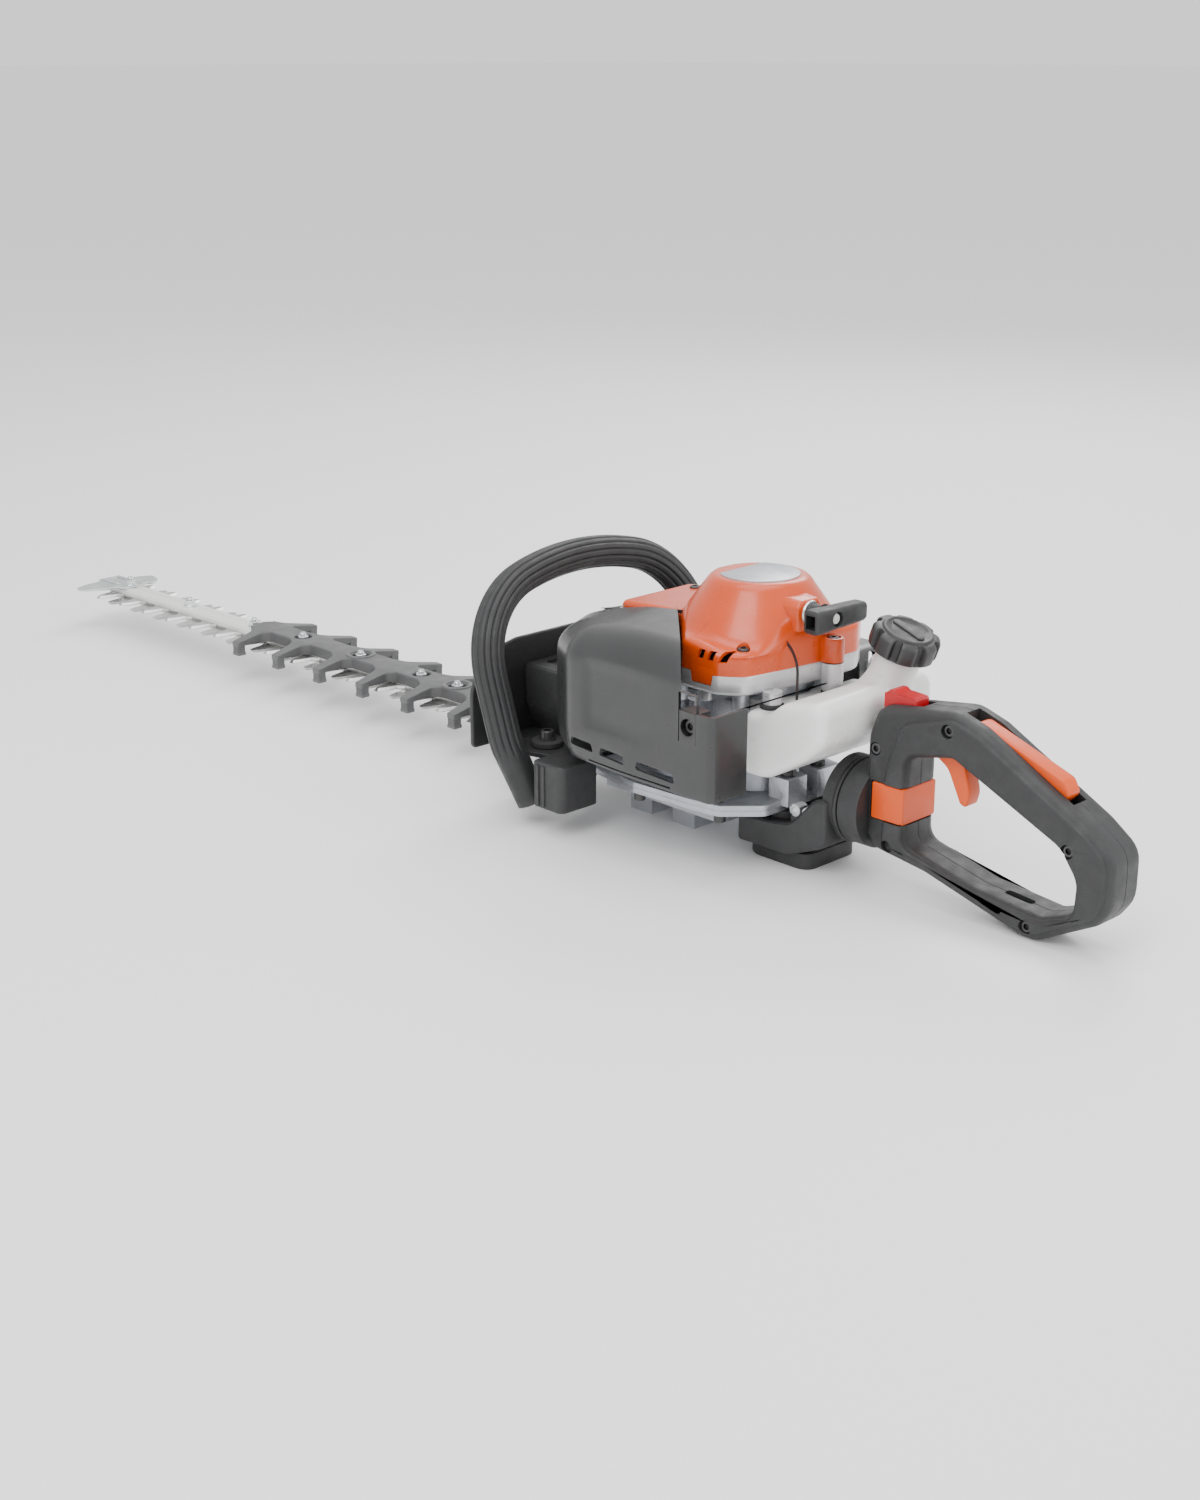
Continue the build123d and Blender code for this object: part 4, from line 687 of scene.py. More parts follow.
class TRIMMER_OT_hand_guard(bpy.types.Operator):
    """Shield, base plate, duct box and handle brackets"""
    bl_idname = "trimmer.hand_guard"
    bl_label = "Hand Guard"

    def execute(self, context):
        shield_outline = [(-106, 46), (-106, 92), (-88, 118), (-60, 124), (60, 124), (88, 118), (106, 92),
                          (106, 46)]
        shield = slab(rounded(shield_outline, [4, 16, 22, 30, 30, 22, 16, 4]), -193, -189, 1.4, lay=front)
        shield = worked(shield, "BEVEL", width=0.01, segments=1, limit_method="ANGLE")
        plate = slab(rounded(mirrored([(-191, 92), (-150, 89), (-108, 76)]), 6), 46, 50, 1.3)
        parts = [plate]
        top = oblong((-191, -54), (-136, 54), 5)
        low = [Vector((-191 + (p.x + 191) * 0.82, p.y * 0.80)) for p in top]
        knee = [Vector((-191 + (p.x + 191) * 0.96, p.y * 0.97)) for p in top]
        duct = prism([(49, [low]), (72, [knee]), (98, [top]), (101.5, [inset(top, 0.7)]),
                      (103, [inset(top, 2.6)])])
        parts.append(duct)
        for way in (-1, 1):
            bracket = rounded([(-119, 74), (-88, 74), (-88, 110), (-119, 110)], [2, 2, 6, 3])
            bracket = [Vector((p.x, way * p.y)) for p in bracket]
            parts.append(slab(bracket, 20, 55.5, 1.6))
            parts.append(slab(rounded([(-122, way * 72), (-102, way * 72), (-102, way * 92),
                                       (-122, way * 92)], 2),
                              45, 50, 0.8))
            for x in (-113, -107):
                parts.append(box_tool((x - 1.3, min(way * 109, way * 111.2), 22),
                                      (x + 1.3, max(way * 109, way * 111.2), 53), 0.8))
        body = fused(shield, *parts)
        body = cut(body, box_tool((-181, -40, 100.5), (-146, 40, 110), 4),
                   *[lathe([(0, 40), (3.2, 40), (3.2, 60), (0, 60)], (-148, way * 68, 0), count=20)
                     for way in (-1, 1)])
        piece("hand_guard_skin", body, "charcoal", nodes=("hand_guard",), angle=30)
        washers, bolts = [], []
        for way in (-1, 1):
            washers.append(lathe([(3.1, 50), (11.3, 50), (12, 50.8), (12, 54), (11.2, 54.8), (8, 55),
                                  (3.1, 55)],
                                 (-148, way * 68, 0)))
            washers.append(lathe([(3.1, 14), (10.4, 14), (11, 14.8), (11, 22), (10, 23), (11, 24), (11, 31),
                                  (10, 32), (11, 33), (11, 37.2), (10.4, 38), (3.1, 38)], (45, way * 16, 0)))
            bolts.append(socket_screw((-148, way * 68, 56.1), (0, 0, 1), 5.2, 6.0))
            bolts.append(lathe([(0, 55), (6.5, 55), (6.5, 56.1), (0, 56.1)], (-148, way * 68, 0), count=28))
            bolts.append(lathe([(0, 42.1), (2.95, 42.1), (2.95, 55), (0, 55)], (-148, way * 68, 0), count=20))
            bolts.append(lathe([(0, 10), (2.95, 10), (2.95, 62), (0, 62)], (45, way * 16, 0), count=20))
            bolts.append(socket_screw((45, way * 16, 62), (0, 0, 1), 5.5, 3.5))
        piece("mount_rubbers", joined(*washers), "rubber", nodes=("av_bushes",))
        piece("mount_bolts", joined(*bolts), "black_bolt", nodes=("av_bolts",))
        return {"FINISHED"}


# ---- engine covers

def cover_body(outline, base, top, near_round, lean):
    """A moulded cover: walls that turn over into a domed top, dense enough to carry pressed detail."""
    heights = [base,
               base + 0.6] + [base + 0.6 + (top - near_round - base - 0.6) * k / 16 for k in range(1, 17)]
    layers = [(z, 0.6 * (1 if i == 0 else 0)) for i, z in enumerate(heights)]
    for k in range(1, 11):
        turn = pi / 2 * k / 10
        layers.append((top - near_round + near_round * sin(turn), near_round * 1.05 * (1 - cos(turn))))
    shape = prism([(z, [inset(outline, d)]) for z, d in layers])
    for vertex in shape.verts:
        z = vertex.co.z
        vertex.co.z -= lean * smooth_step(-vertex.co.x, 20, 133) * max(0.0, z - 110) / (top - 110)
    return shape


def diagonal_tool(offset):
    """A block that stands beyond the upright plane between exhaust cover and starter cover."""
    along, across = Vector((1, -1.0)).normalized(), Vector((1, 1)).normalized()
    foot = Vector((-8, -73.0)) + across * offset
    corners = [foot - along * 160, foot + along * 160, foot + along * 160 + across * 200,
               foot - along * 160 + across * 200]
    return [(p.x, p.y) for p in corners]


def press_panel(shell):
    """Tuck the foot of a cover shell in and press the shallow panel into its near side."""
    for vertex in shell.verts:
        x, y, z = vertex.co
        tuck = smooth_step(-x, 10, 120) * (max(0.0, 92 - z) / 25) ** 2
        vertex.co.y += 7.0 * tuck * smooth_step(-y, 70, 108)
        vertex.co.x += 4.0 * tuck * smooth_step(-x, 118, 132)
        if y < -100 and z < 152:
            level = smooth_step(z, 92, 99) * (1 - smooth_step(z, 138, 145))
            reach = smooth_step(x, -66, -58) * (1 - smooth_step(x, -40, 34))
            vertex.co.y += 2.0 * level * reach


class TRIMMER_OT_exhaust_cover(bpy.types.Operator):
    """Sculpted grey cover with a pressed panel and vents"""
    bl_idname = "trimmer.exhaust_cover"
    bl_label = "Exhaust Cover"

    def execute(self, context):
        wall = context.scene.trimmer_sizes.shell * 1000
        plan = rounded([(-130, -26), (-130, -58), (-114, -90), (-80, -112), (60, -112), (60, 20), (-60, 20)],
                       [4, 14, 18, 20, 5, 5, 5], 9)
        outer = cover_body(resampled(plan, 3.2), 67, 167, 26, 9)
        inner = cover_body(resampled(inset(plan, wall), 3.2), 60, 167 - wall, 24, 9)
        for shell in (outer, inner):
            press_panel(shell)
        body = cut(outer, inner)
        wedge = diagonal_tool(0)
        body = cut(body, bar([wedge], 127.6, 200),
                   box_tool((-140, -25.5, 60), (140, 60, 200)),
                   box_tool((3, -77, 60), (140, 60, 127.6)),
                   box_tool((29, -116, 105.6), (45.5, -96, 140), 1.5))
        vents = []
        for x, width, lift in ((-66, 24, 3.0), (-36, 26, 1.5), (0, 38, 0.0)):
            slot = rounded([(x - 12, 75 + lift), (x - 12 + width, 73.5 + lift),
                            (x - 12 + width - 2, 80 + lift),
                            (x - 10, 81 + lift)], 1.5)
            vents.append(bar([slot], -125, -95, side))
        vents.append(box_tool((-60, -116, 69.2), (22, -107, 70.4)))
        body = cut(body, *vents)
        piece("exhaust_cover_skin", body, "cover_grey", nodes=("muffler_cover",), angle=38)
        pocket = cut(box_tool((28.8, -112.2, 105.4), (46, -97, 127.4), 2.2),
                     lathe([(0, -2), (6.8, -2), (6.0, 9), (0, 9)], (37.3, -103.5, 116.5), (0, -1, 0), 32))
        piece("cover_pocket", pocket, "black")
        return {"FINISHED"}


BAND = [(-116, -24), (-54.5, -24), (-5.5, -73), (27, -73), (43, -60), (48, -30), (53, 10), (53, 46), (38, 68),
        (-60, 68), (-116, 50)]
BAND_ROUND = [5, 4, 4, 14, 14, 30, 20, 14, 12, 14, 8]


def band_plan():
    """Plan of the fan housing and starter cover."""
    return resampled(rounded(BAND, BAND_ROUND, 8), 2.6)


class TRIMMER_OT_fan_housing(bpy.types.Operator):
    """Silver band between the engine and the starter cover"""
    bl_idname = "trimmer.fan_housing"
    bl_label = "Fan Housing"

    def execute(self, context):
        plan = band_plan()
        inside = inset(plan, 3)
        rim = [(128, 2.2), (128.5, 1.4), (129.6, 0.4), (131.2, 0), (140.9, 0), (141.9, 0.5)]
        ring = prism([(z, [inset(plan, d), inside]) for z, d in rim])
        floor = bar([inset(plan, 2.6), circle(0, 0, 49, 64)], 128.2, 130.6)
        ring = fused(ring, floor)
        notch = rounded([(1, 150), (3.8, 133.8), (22.2, 133.8), (25, 150)], 1)
        ring = cut(ring, bar([notch], -80, -69, side),
                   box_tool((-98, -10, 120), (-62, 30, 135)))
        bosses = [lathe([(0, 121), (6.4, 121), (6.8, 121.5), (6.8, 130), (0, 130)], (50, -41, 0)),
                  lathe([(0, 121), (6.6, 121), (7.2, 122), (7.9, 129), (7.9, 141.4), (0, 141.4)],
                        (57.5, 13, 0)),
                  lathe([(0, 121), (4.0, 121), (4.4, 121.5), (4.4, 130), (0, 130)], (12, -66, 0), count=24)]
        piece("fan_housing_skin", fused(ring, *bosses), "silver", nodes=("fan_housing",), angle=35)
        pads = [lathe([(0, 118), (8.0, 118), (8.5, 118.6), (8.5, 120.4), (7.9, 121), (0, 121)], (x, y, 0))
                for x, y in ((50, -41), (59, 13))]
        piece("tank_pads_skin", joined(*pads), "rubber", nodes=("tank_pads",))
        return {"FINISHED"}


def cover_height(x, y, drop=0.0):
    """Height of the starter cover's top over a point of its plan."""
    reach = Vector((x, y)).length
    deck = 163.0 - 5.0 * smooth_step(x, -2, 40) * (1 - smooth_step(y, -40, 0))
    deck -= 2.0 * smooth_step(-x, 60, 116)
    if reach <= 31:
        top = 197.0
    elif reach <= 37:
        turn = (reach - 31) / 6
        top = 197 - 3.6 * turn ** 2
    else:
        top = 193.4 - (reach - 37) * 1.42
    blend = max(top, deck)
    if abs(top - deck) < 6:
        blend += (6 - abs(top - deck)) ** 2 / 24
    return blend - drop


class TRIMMER_OT_starter_cover(bpy.types.Operator):
    """Orange cover with its dome, rope boss, vents and screw boss"""
    bl_idname = "trimmer.starter_cover"
    bl_label = "Starter Cover"

    def execute(self, context):
        wall = context.scene.trimmer_sizes.shell * 1000
        plan = band_plan()
        skins = []
        for sink in (0.0, wall):
            rings = []
            rim = inset(plan, sink)
            for z in (142.0, 143.0, 146.0, 149.0, 152.0, 155.0):
                rings.append([Vector((p.x, p.y, z)) for p in rim])
            shares = [1 - 0.013 * k for k in range(1, 9)] + [0.88 - 0.03 * k for k in range(29)]
            for k in range(7):
                turn = pi / 2 * k / 6
                edge = inset(rim, 5.0 * (1 - cos(turn)))
                ring = []
                for p in edge:
                    top = cover_height(p.x, p.y, sink)
                    base = min(top - 5.0, 158.0 - sink)
                    ring.append(Vector((p.x, p.y, base + (top - base) * sin(turn))))
                rings.append(ring)
            last = inset(rim, 5.0)
            for share in shares:
                rings.append([Vector((p.x * share, p.y * share, cover_height(p.x * share, p.y * share, sink)))
                              for p in last])
            skins.append(rings)
        whole = skins[0][::-1] + skins[1]
        shape = bmesh.new()
        loops = [[shape.verts.new(p) for p in ring] for ring in whole]
        for a, b in zip(loops, loops[1:]):
            for i in range(len(a)):
                j = (i + 1) % len(a)
                shape.faces.new((a[i], a[j], b[j], b[i]))
        shape.faces.new(loops[0])
        shape.faces.new(loops[-1])
        bmesh.ops.recalc_face_normals(shape, faces=shape.faces)
        near = []
        for x, half, low, high in ((22, 15, 160, 190.5), (38, 14, 164, 189.5), (50, 12.5, 166.5, 188.5),
                                   (52, 12.0, 167, 188)):
            near.append([Vector((x, -6 + half * a, low if b < 0 else high)) for a, b in
                         ((-1, -1), (1, -1), (1, -0.4), (1, 1), (0.72, 1), (-0.72, 1), (-1, 1), (-1, -0.4))])
        for ring in near:
            for point in (ring[3], ring[6]):
                point.z -= 5
            for point in (ring[2], ring[7]):
                point.z = ring[0].z + 5
        boss = worked(loft(near), "BEVEL", width=1.6, segments=3, limit_method="ANGLE",
                      angle_limit=radians(25))
        lug = slab(rounded([(46, 5), (57, 5), (65.5, 8), (65.5, 18), (57, 21), (46, 21)], [1, 6, 7, 7, 6, 1]),
                   142.2, 159.5, (0.4, 1.0))
        tab = slab(rounded([(2.4, 146), (4.4, 134.4), (21.6, 134.4), (23.6, 146)], 0.8), -73.1, -70.4, 0.3,
                   lay=side)
        shape = fused(shape, boss, lug, tab)
        tools = [lathe([(0, 40), (7.4, 40), (7.4, 56), (0, 56)], (0, -6, 179), (1, 0, 0), 32),
                 lathe([(0, 157), (5.2, 157), (5.4, 162), (0, 162)], (58, 13, 0), count=28)]
        for x, y, seat in ((34, -54, 157), (36, 52, 161.4), (-20, 60, 161.4), (-100, 40, 161.4),
                           (-16, -46, 161.4)):
            tools.append(lathe([(0, seat), (4.6, seat), (5.2, 168), (0, 168)], (x, y, 0), count=28))
        for x in (9, 18, 27):
            vent = [(x, 151.5), (x + 5.4, 151.5), (x + 7.4, 158.5), (x + 2.2, 158.5)]
            tools.append(bar([vent], -85, -60, side))
        shape = cut(shape, *tools)
        piece("starter_cover_skin", shape, "orange", nodes=("starter_cover",), angle=30)
        ferrule = lathe([(6.0, 51.2), (8.6, 51.2), (8.9, 52.4), (8.4, 53.4), (6.4, 53.4), (6.0, 53.0)],
                        (0, -6, 179), (1, 0, 0))
        piece("rope_ferrule", ferrule, "silver", material="zinc")
        badge = []
        for k in range(65):
            turn = radians(-128) + radians(256) * k / 64
            badge.append(Vector((28.5 * cos(turn), 28.5 * sin(turn))))
        piece("badge_skin", slab(badge, 197, 198, (0, 0.4)), "badge", nodes=("badge_plate",))
        screws = [socket_screw((x, y, z), (0, 0, 1), 4.0, 2.4) for x, y, z in
                  ((-20, 60, 161.6), (-100, 40, 160.5), (36, 52, 161.6), (34, -54, 157.4), (58, 13, 157.3))]
        screws.append(socket_screw((37.3, -105, 116.5), (0, -1, 0), 5.0, 4.0))
        piece("cover_screw_heads", joined(*screws), "black_bolt", nodes=("cover_screws",))
        return {"FINISHED"}


class TRIMMER_OT_starter_grip(bpy.types.Operator):
    """T grip with a hollow end, on its black stem"""
    bl_idname = "trimmer.starter_grip"
    bl_label = "Starter Grip"

    def execute(self, context):
        rings = []
        for y, wide, tall in ((-27, 10.5, 14), (-26, 13.0, 16.4), (-23, 14, 17), (-8, 13.2, 15.5),
                              (8, 13.0, 15),
                              (24, 12.2, 14), (26.4, 11.0, 12.6), (27, 9, 10.4)):
            ring = rounded([(-wide / 2, -tall / 2), (wide / 2, -tall / 2), (wide / 2, tall / 2),
                            (-wide / 2, tall / 2)], 3.2, 5)
            rings.append([Vector((70 + p.x, y, 179 + p.y)) for p in ring])
        bar = loft(rings)
        stem = lathe([(0, 52), (6.0, 52), (6.7, 53), (7.0, 57), (6.6, 60), (8.5, 64), (0, 66)], (0, -6, 179),
                     (1, 0, 0), 32)
        bar = cut(fused(bar, stem), box_tool((65.8, -28, 174.2), (74.2, -17, 183.8), 2),
                  lathe([(0, 73), (5.2, 73), (5.4, 80), (0, 80)], (0, -6, 179), (1, 0, 0), 32))
        piece("starter_grip_skin", bar, "charcoal", "starter_grip", ("starter_grip",), angle=35)
        knot = lathe([(0, 72.8), (3.2, 72.8), (4.0, 73.6), (3.4, 75.2), (1.2, 75.8), (0, 75.8)], (0, -6, 179),
                     (1, 0, 0), 20)
        rope = lathe([(0, 38)] + [(1.9 + 0.12 * sin(h * 2.4), 38 + h * 0.35) for h in range(98)] + [(0,
                                                                                                     72.6)],
                     (0, -6, 179), (1, 0, 0), 16)
        piece("starter_rope_skin", joined(rope, knot), "rope", "starter_grip", ("starter_rope",))
        return {"FINISHED"}


# ---- fuel

NECK = Vector((96, 26, 128))
NECK_TILT = Vector((sin(radians(20)), 0, cos(radians(20))))


class TRIMMER_OT_fuel_tank(bpy.types.Operator):
    """Milky blow-moulded tank with its flared neck"""
    bl_idname = "trimmer.fuel_tank"
    bl_label = "Fuel Tank"

    def execute(self, context):
        low, high = (1000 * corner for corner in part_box("fuel_tank"))
        profile = rounded([(16, 72), (16, 118), (60, 118), (72, 129), (104, 136), (111, 130), (111, 108),
                           (93, 92),
                           (60, 72)], [11, 12, 20, 20, 12, 8, 16, 25, 20], 6)
        body = prism([(low.y, [inset(profile, 5.0)]), (low.y + 2, [inset(profile, 1.6)]),
                      (low.y + 5, [profile]), (high.y - 5, [profile]), (high.y - 2, [inset(profile, 1.6)]),
                      (high.y, [inset(profile, 5.0)])], side)
        neck = lathe([(0, -18), (28, -18), (21, -4), (17.5, 6), (16, 14), (16, 29), (0, 29)], NECK, NECK_TILT)
        body = fused(body, neck)
        room = lathe([(0, 40), (40.5, 40), (40.5, 170), (0, 170)], (0, 0, 0), count=64)
        body = cut(body, room, box_tool((0, 36, 98), (42, 80, 130), 6),
                   box_tool((0, -80, 98), (42, -36, 130), 6))
        body = moulded(body, 1.5, 9)
        pads = [lathe([(0, 118), (9.2, 118), (9.2, 140), (0, 140)], (x, y, 0)) for x,
                y in ((50, -41), (59, 13))]
        piece("fuel_tank_skin", cut(body, *pads), "tank", nodes=("fuel_tank",), angle=50)
        return {"FINISHED"}


class TRIMMER_OT_fuel_cap(bpy.types.Operator):
    """Black scooped cap"""
    bl_idname = "trimmer.fuel_cap"
    bl_label = "Fuel Cap"

    def execute(self, context):
        tilt = Vector((0, 0, 1)).rotation_difference(NECK_TILT)
        rings = []
        for height, radius, scoop in ((31.4, 22.6, 0.2), (32.2, 23.6, 0.5), (34.2, 24, 1), (43.1, 24, 1),
                                      (44.9, 23.3, 1), (45.9, 22.0, 0.8), (46.4, 20.4, 0.3), (46.5, 18.4, 0),
                                      (47.5, 17.6, 0), (47.9, 16.6, 0), (47.7, 15.4, 0), (47.2, 14.6, 0)):
            ring = []
            for k in range(128):
                turn = 2 * pi * k / 128
                phase = (turn * 8 / (2 * pi)) % 1.0 - 0.5
                dip = 3.0 * scoop * (1 - smooth_step(abs(phase), 0.13, 0.21))
                ring.append(NECK + tilt @ Vector(((radius - dip) * cos(turn), (radius - dip) * sin(turn),
                                                  height)))
            rings.append(ring)
        cap = loft(rings)
        cap = fused(cap, slab(oblong((-13.5, -3.2), (13.5, 3.2), 3), 0, 1.6, (0, 0.8),
                              lay=lambda a, b, h: NECK + tilt @ Vector((a, b, 46.7 + h))))
        piece("fuel_cap_skin", cap, "black", "fuel_cap", ("fuel_cap",), angle=35)
        seal = lathe([(12, 29.4), (17.2, 29.4), (17.5, 30.4), (17.2, 31.4), (12, 31.4)], NECK, NECK_TILT)
        piece("cap_seal_skin", seal, "rubber", "fuel_cap", ("cap_seal",))
        return {"FINISHED"}


# ---- gear case and other parts that keep their functional shape

class TRIMMER_OT_gear_case(bpy.types.Operator):
    """Cast gear case halves with hanging cap screws"""
    bl_idname = "trimmer.gear_case"
    bl_label = "Gear Case"

    def execute(self, context):
        refined("gear_case", "cast", edge=0.7)
        refined("gear_case_cover", "cast", edge=0.7)
        bolts = []
        for x, y in ((-115, 54), (-52, 66), (19, 58)):
            for way in (-1, 1):
                bolts.append(socket_screw((x, way * y, 38), (0, 0, -1), 4.25, 7))
                bolts.append(lathe([(0, 38), (2.45, 38), (2.45, 46.6), (2.0, 47), (0, 47)], (x, way * y, 0),
                                   count=20))
        piece("case_bolt_heads", joined(*bolts), "black_bolt", nodes=("case_bolts",))
        return {"FINISHED"}


class TRIMMER_OT_engine(bpy.types.Operator):
    """Cylinder, crankcase, exhaust, ignition and the moving train"""
    bl_idname = "trimmer.engine"
    bl_label = "Engine"

    def execute(self, context):
        for node, slot in (("cylinder", "cast"), ("crankcase", "cast"), ("muffler", "dark_steel"),
                           ("carburettor", "cast"), ("air_box", "charcoal"), ("intake_boot", "rubber"),
                           ("ignition_coil", "black"), ("plug_cap", "rubber")):
            refined(node, slot)
        refined("flywheel", "cast", "crank", 0.5)
        for node, slot in (("drive_gear", "dark_steel"), ("gear_shaft", "dark_steel"),
                           ("clutch_drum", "dark_steel"), ("clutch_shoes", "dark_steel"),
                           ("crankshaft", "dark_steel"), ("main_bearings", "steel"), ("piston", "cast"),
                           ("connecting_rod", "dark_steel"), ("spark_plug", "ceramic"),
                           ("air_filter", "foam"),
                           ("starter_pulley", "black"), ("lever_pins", "steel")):
            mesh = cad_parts[node].data
            mesh.materials.clear()
            mesh.materials.append(finishes()[slot])
        return {"FINISHED"}


class TRIMMER_OT_air_cover(bpy.types.Operator):
    """Air box cover, primer bulb and choke lever"""
    bl_idname = "trimmer.air_cover"
    bl_label = "Air Cover"

    def execute(self, context):
        panel = rounded([(-115, 68), (35, 68), (35, 132), (-115, 132)], [14, 12, 14, 18], 8)
        rims = [(72, 0),
                (100, 0.6)] + [(116 - 14 * (1 - sin(pi / 2 * k / 8)), 0.6 + 12 * (1 - cos(pi / 2 * k / 8)))
                                        for k in range(9)]
        outer = prism([(y, [inset(panel, d)]) for y, d in rims], side)
        room = prism([(y, [inset(panel, d + 2.5)]) for y,
                      d in [(60, 0)] + [(y - 2.5, d) for y, d in rims[1:]]], side)
        body = cut(outer, room)
        ribs = [bar([oblong((x, 80), (x + 5, 120), 2)], 112, 120, side) for x in range(-90, 10, 14)]
        hole = lathe([(0, 20), (10.4, 20), (10.4, 45), (0, 45)], (0, 90, 118), (1, 0, 0))
        piece("air_cover_skin", cut(body, hole, *ribs), "cover_grey", nodes=("air_box_cover",), angle=35)
        refined("choke_lever", "bright_orange", "choke_lever", 0.8)
        refined("primer_bulb", "clear", "primer_bulb", 0.8)
        return {"FINISHED"}


# ---- rear end

class TRIMMER_OT_rear_arm(bpy.types.Operator):
    """Arm with its foot and turning ring"""
    bl_idname = "trimmer.rear_arm"
    bl_label = "Rear Arm"

    def execute(self, context):
        outer = rounded([(14, 10), (14, 30), (62, 34), (84, 58), (94, 58), (94, 24), (60, 10)],
                        [3, 3, 20, 12, 2, 8, 14], 6)
        beam = prism([(-34, [inset(outer, 2.0)]), (-33, [inset(outer, 0.6)]), (-31.6, [outer]),
                      (31.6, [outer]),
                      (33, [inset(outer, 0.6)]), (34, [inset(outer, 2.0)])], side)
        room = box_tool((18, -29.6, 14), (87.5, 29.6, 90), 3)
        beam = cut(beam, room)
        foot = slab(oblong((15, -28), (75, 28), [16, 10, 10, 16]), 0, 12, (1.2, 0.4))
        body = fused(beam, foot,
                     cut(lathe([(0, 88), (30.2, 88), (31, 88.8), (31, 97), (30.4, 97.4), (30.4, 98.2),
                                            (31, 98.6), (31, 99.4), (30.4, 100), (0, 100)], (0, 0, TURN_Z),
                                           (1, 0, 0), 64),
                                     lathe([(0, 80), (23.1, 80), (23.1, 110), (0, 110)], (0, 0, TURN_Z),
                                           (1, 0, 0),
                                           64)))
        body = cut(body,
                   *[lathe([(0, 5), (11.4, 5), (11.4, 60), (0, 60)], (45, way * 16, 9)) for way in (-1, 1)],
                   box_tool((88.2, -20, 36), (100, 20, 72), 4))
        piece("rear_arm_skin", body, "charcoal", nodes=("rear_arm",), angle=35)
        return {"FINISHED"}


class TRIMMER_OT_cable_clip(bpy.types.Operator):
    """Clear cable connectors in their black cradle"""
    bl_idname = "trimmer.cable_clip"
    bl_label = "Cable Clip"

    def execute(self, context):
        shells, cores = [], []
        for x in (62.4, 73.6):
            shells.append(lathe([(0, -5), (3.2, -5), (4.6, -4.4), (4.9, -3), (4.9, 3), (4.6, 4.4), (3.2, 5),
                                 (0, 5)],
                                (x, -24, 43), (0, 1, 0), 28))
            cores.append(lathe([(0, -5.4), (2.0, -5.4), (2.4, -5.2), (2.4, 5.2), (2.0, 5.4), (0, 5.4)],
                               (x, -24, 43), (0, 1, 0), 20))
        piece("cable_connectors", joined(*shells), "clear", nodes=("cable_clip",))
        piece("connector_cores", joined(*cores), "zinc")
        cradle = fused(slab(oblong((59, -29), (77, -20), 1.5), 26, 38.6, 0.5),
                       *[slab(oblong((x - 1.1, -28.8), (x + 1.1, -20), 0.9), 36, 46.5, (0, 0.6))
                         for x in (60, 68, 76)])
        piece("cable_cradle", cradle, "black")
        return {"FINISHED"}


OUTER = [(114, 36), (114, 108), (122, 130), (184, 139), (206, 132), (288, 88), (310, 72), (310, 38),
         (300, 24),
         (257, 1), (243, 1), (166, 22), (124, 28)]
OUTER_ROUND = [6, 30, 13, 20, 22, 30, 18, 22, 12, 14, 14, 30, 8]
INNER = [(148, 37), (205, 23), (258, 18), (282, 27), (283, 50), (270, 68), (184, 107), (148, 99)]
INNER_ROUND = [9, 30, 12, 10, 14, 16, 12, 9]
SCREWS = [(122, 100), (181, 126), (277, 69), (250, 9.5), (135, 33)]


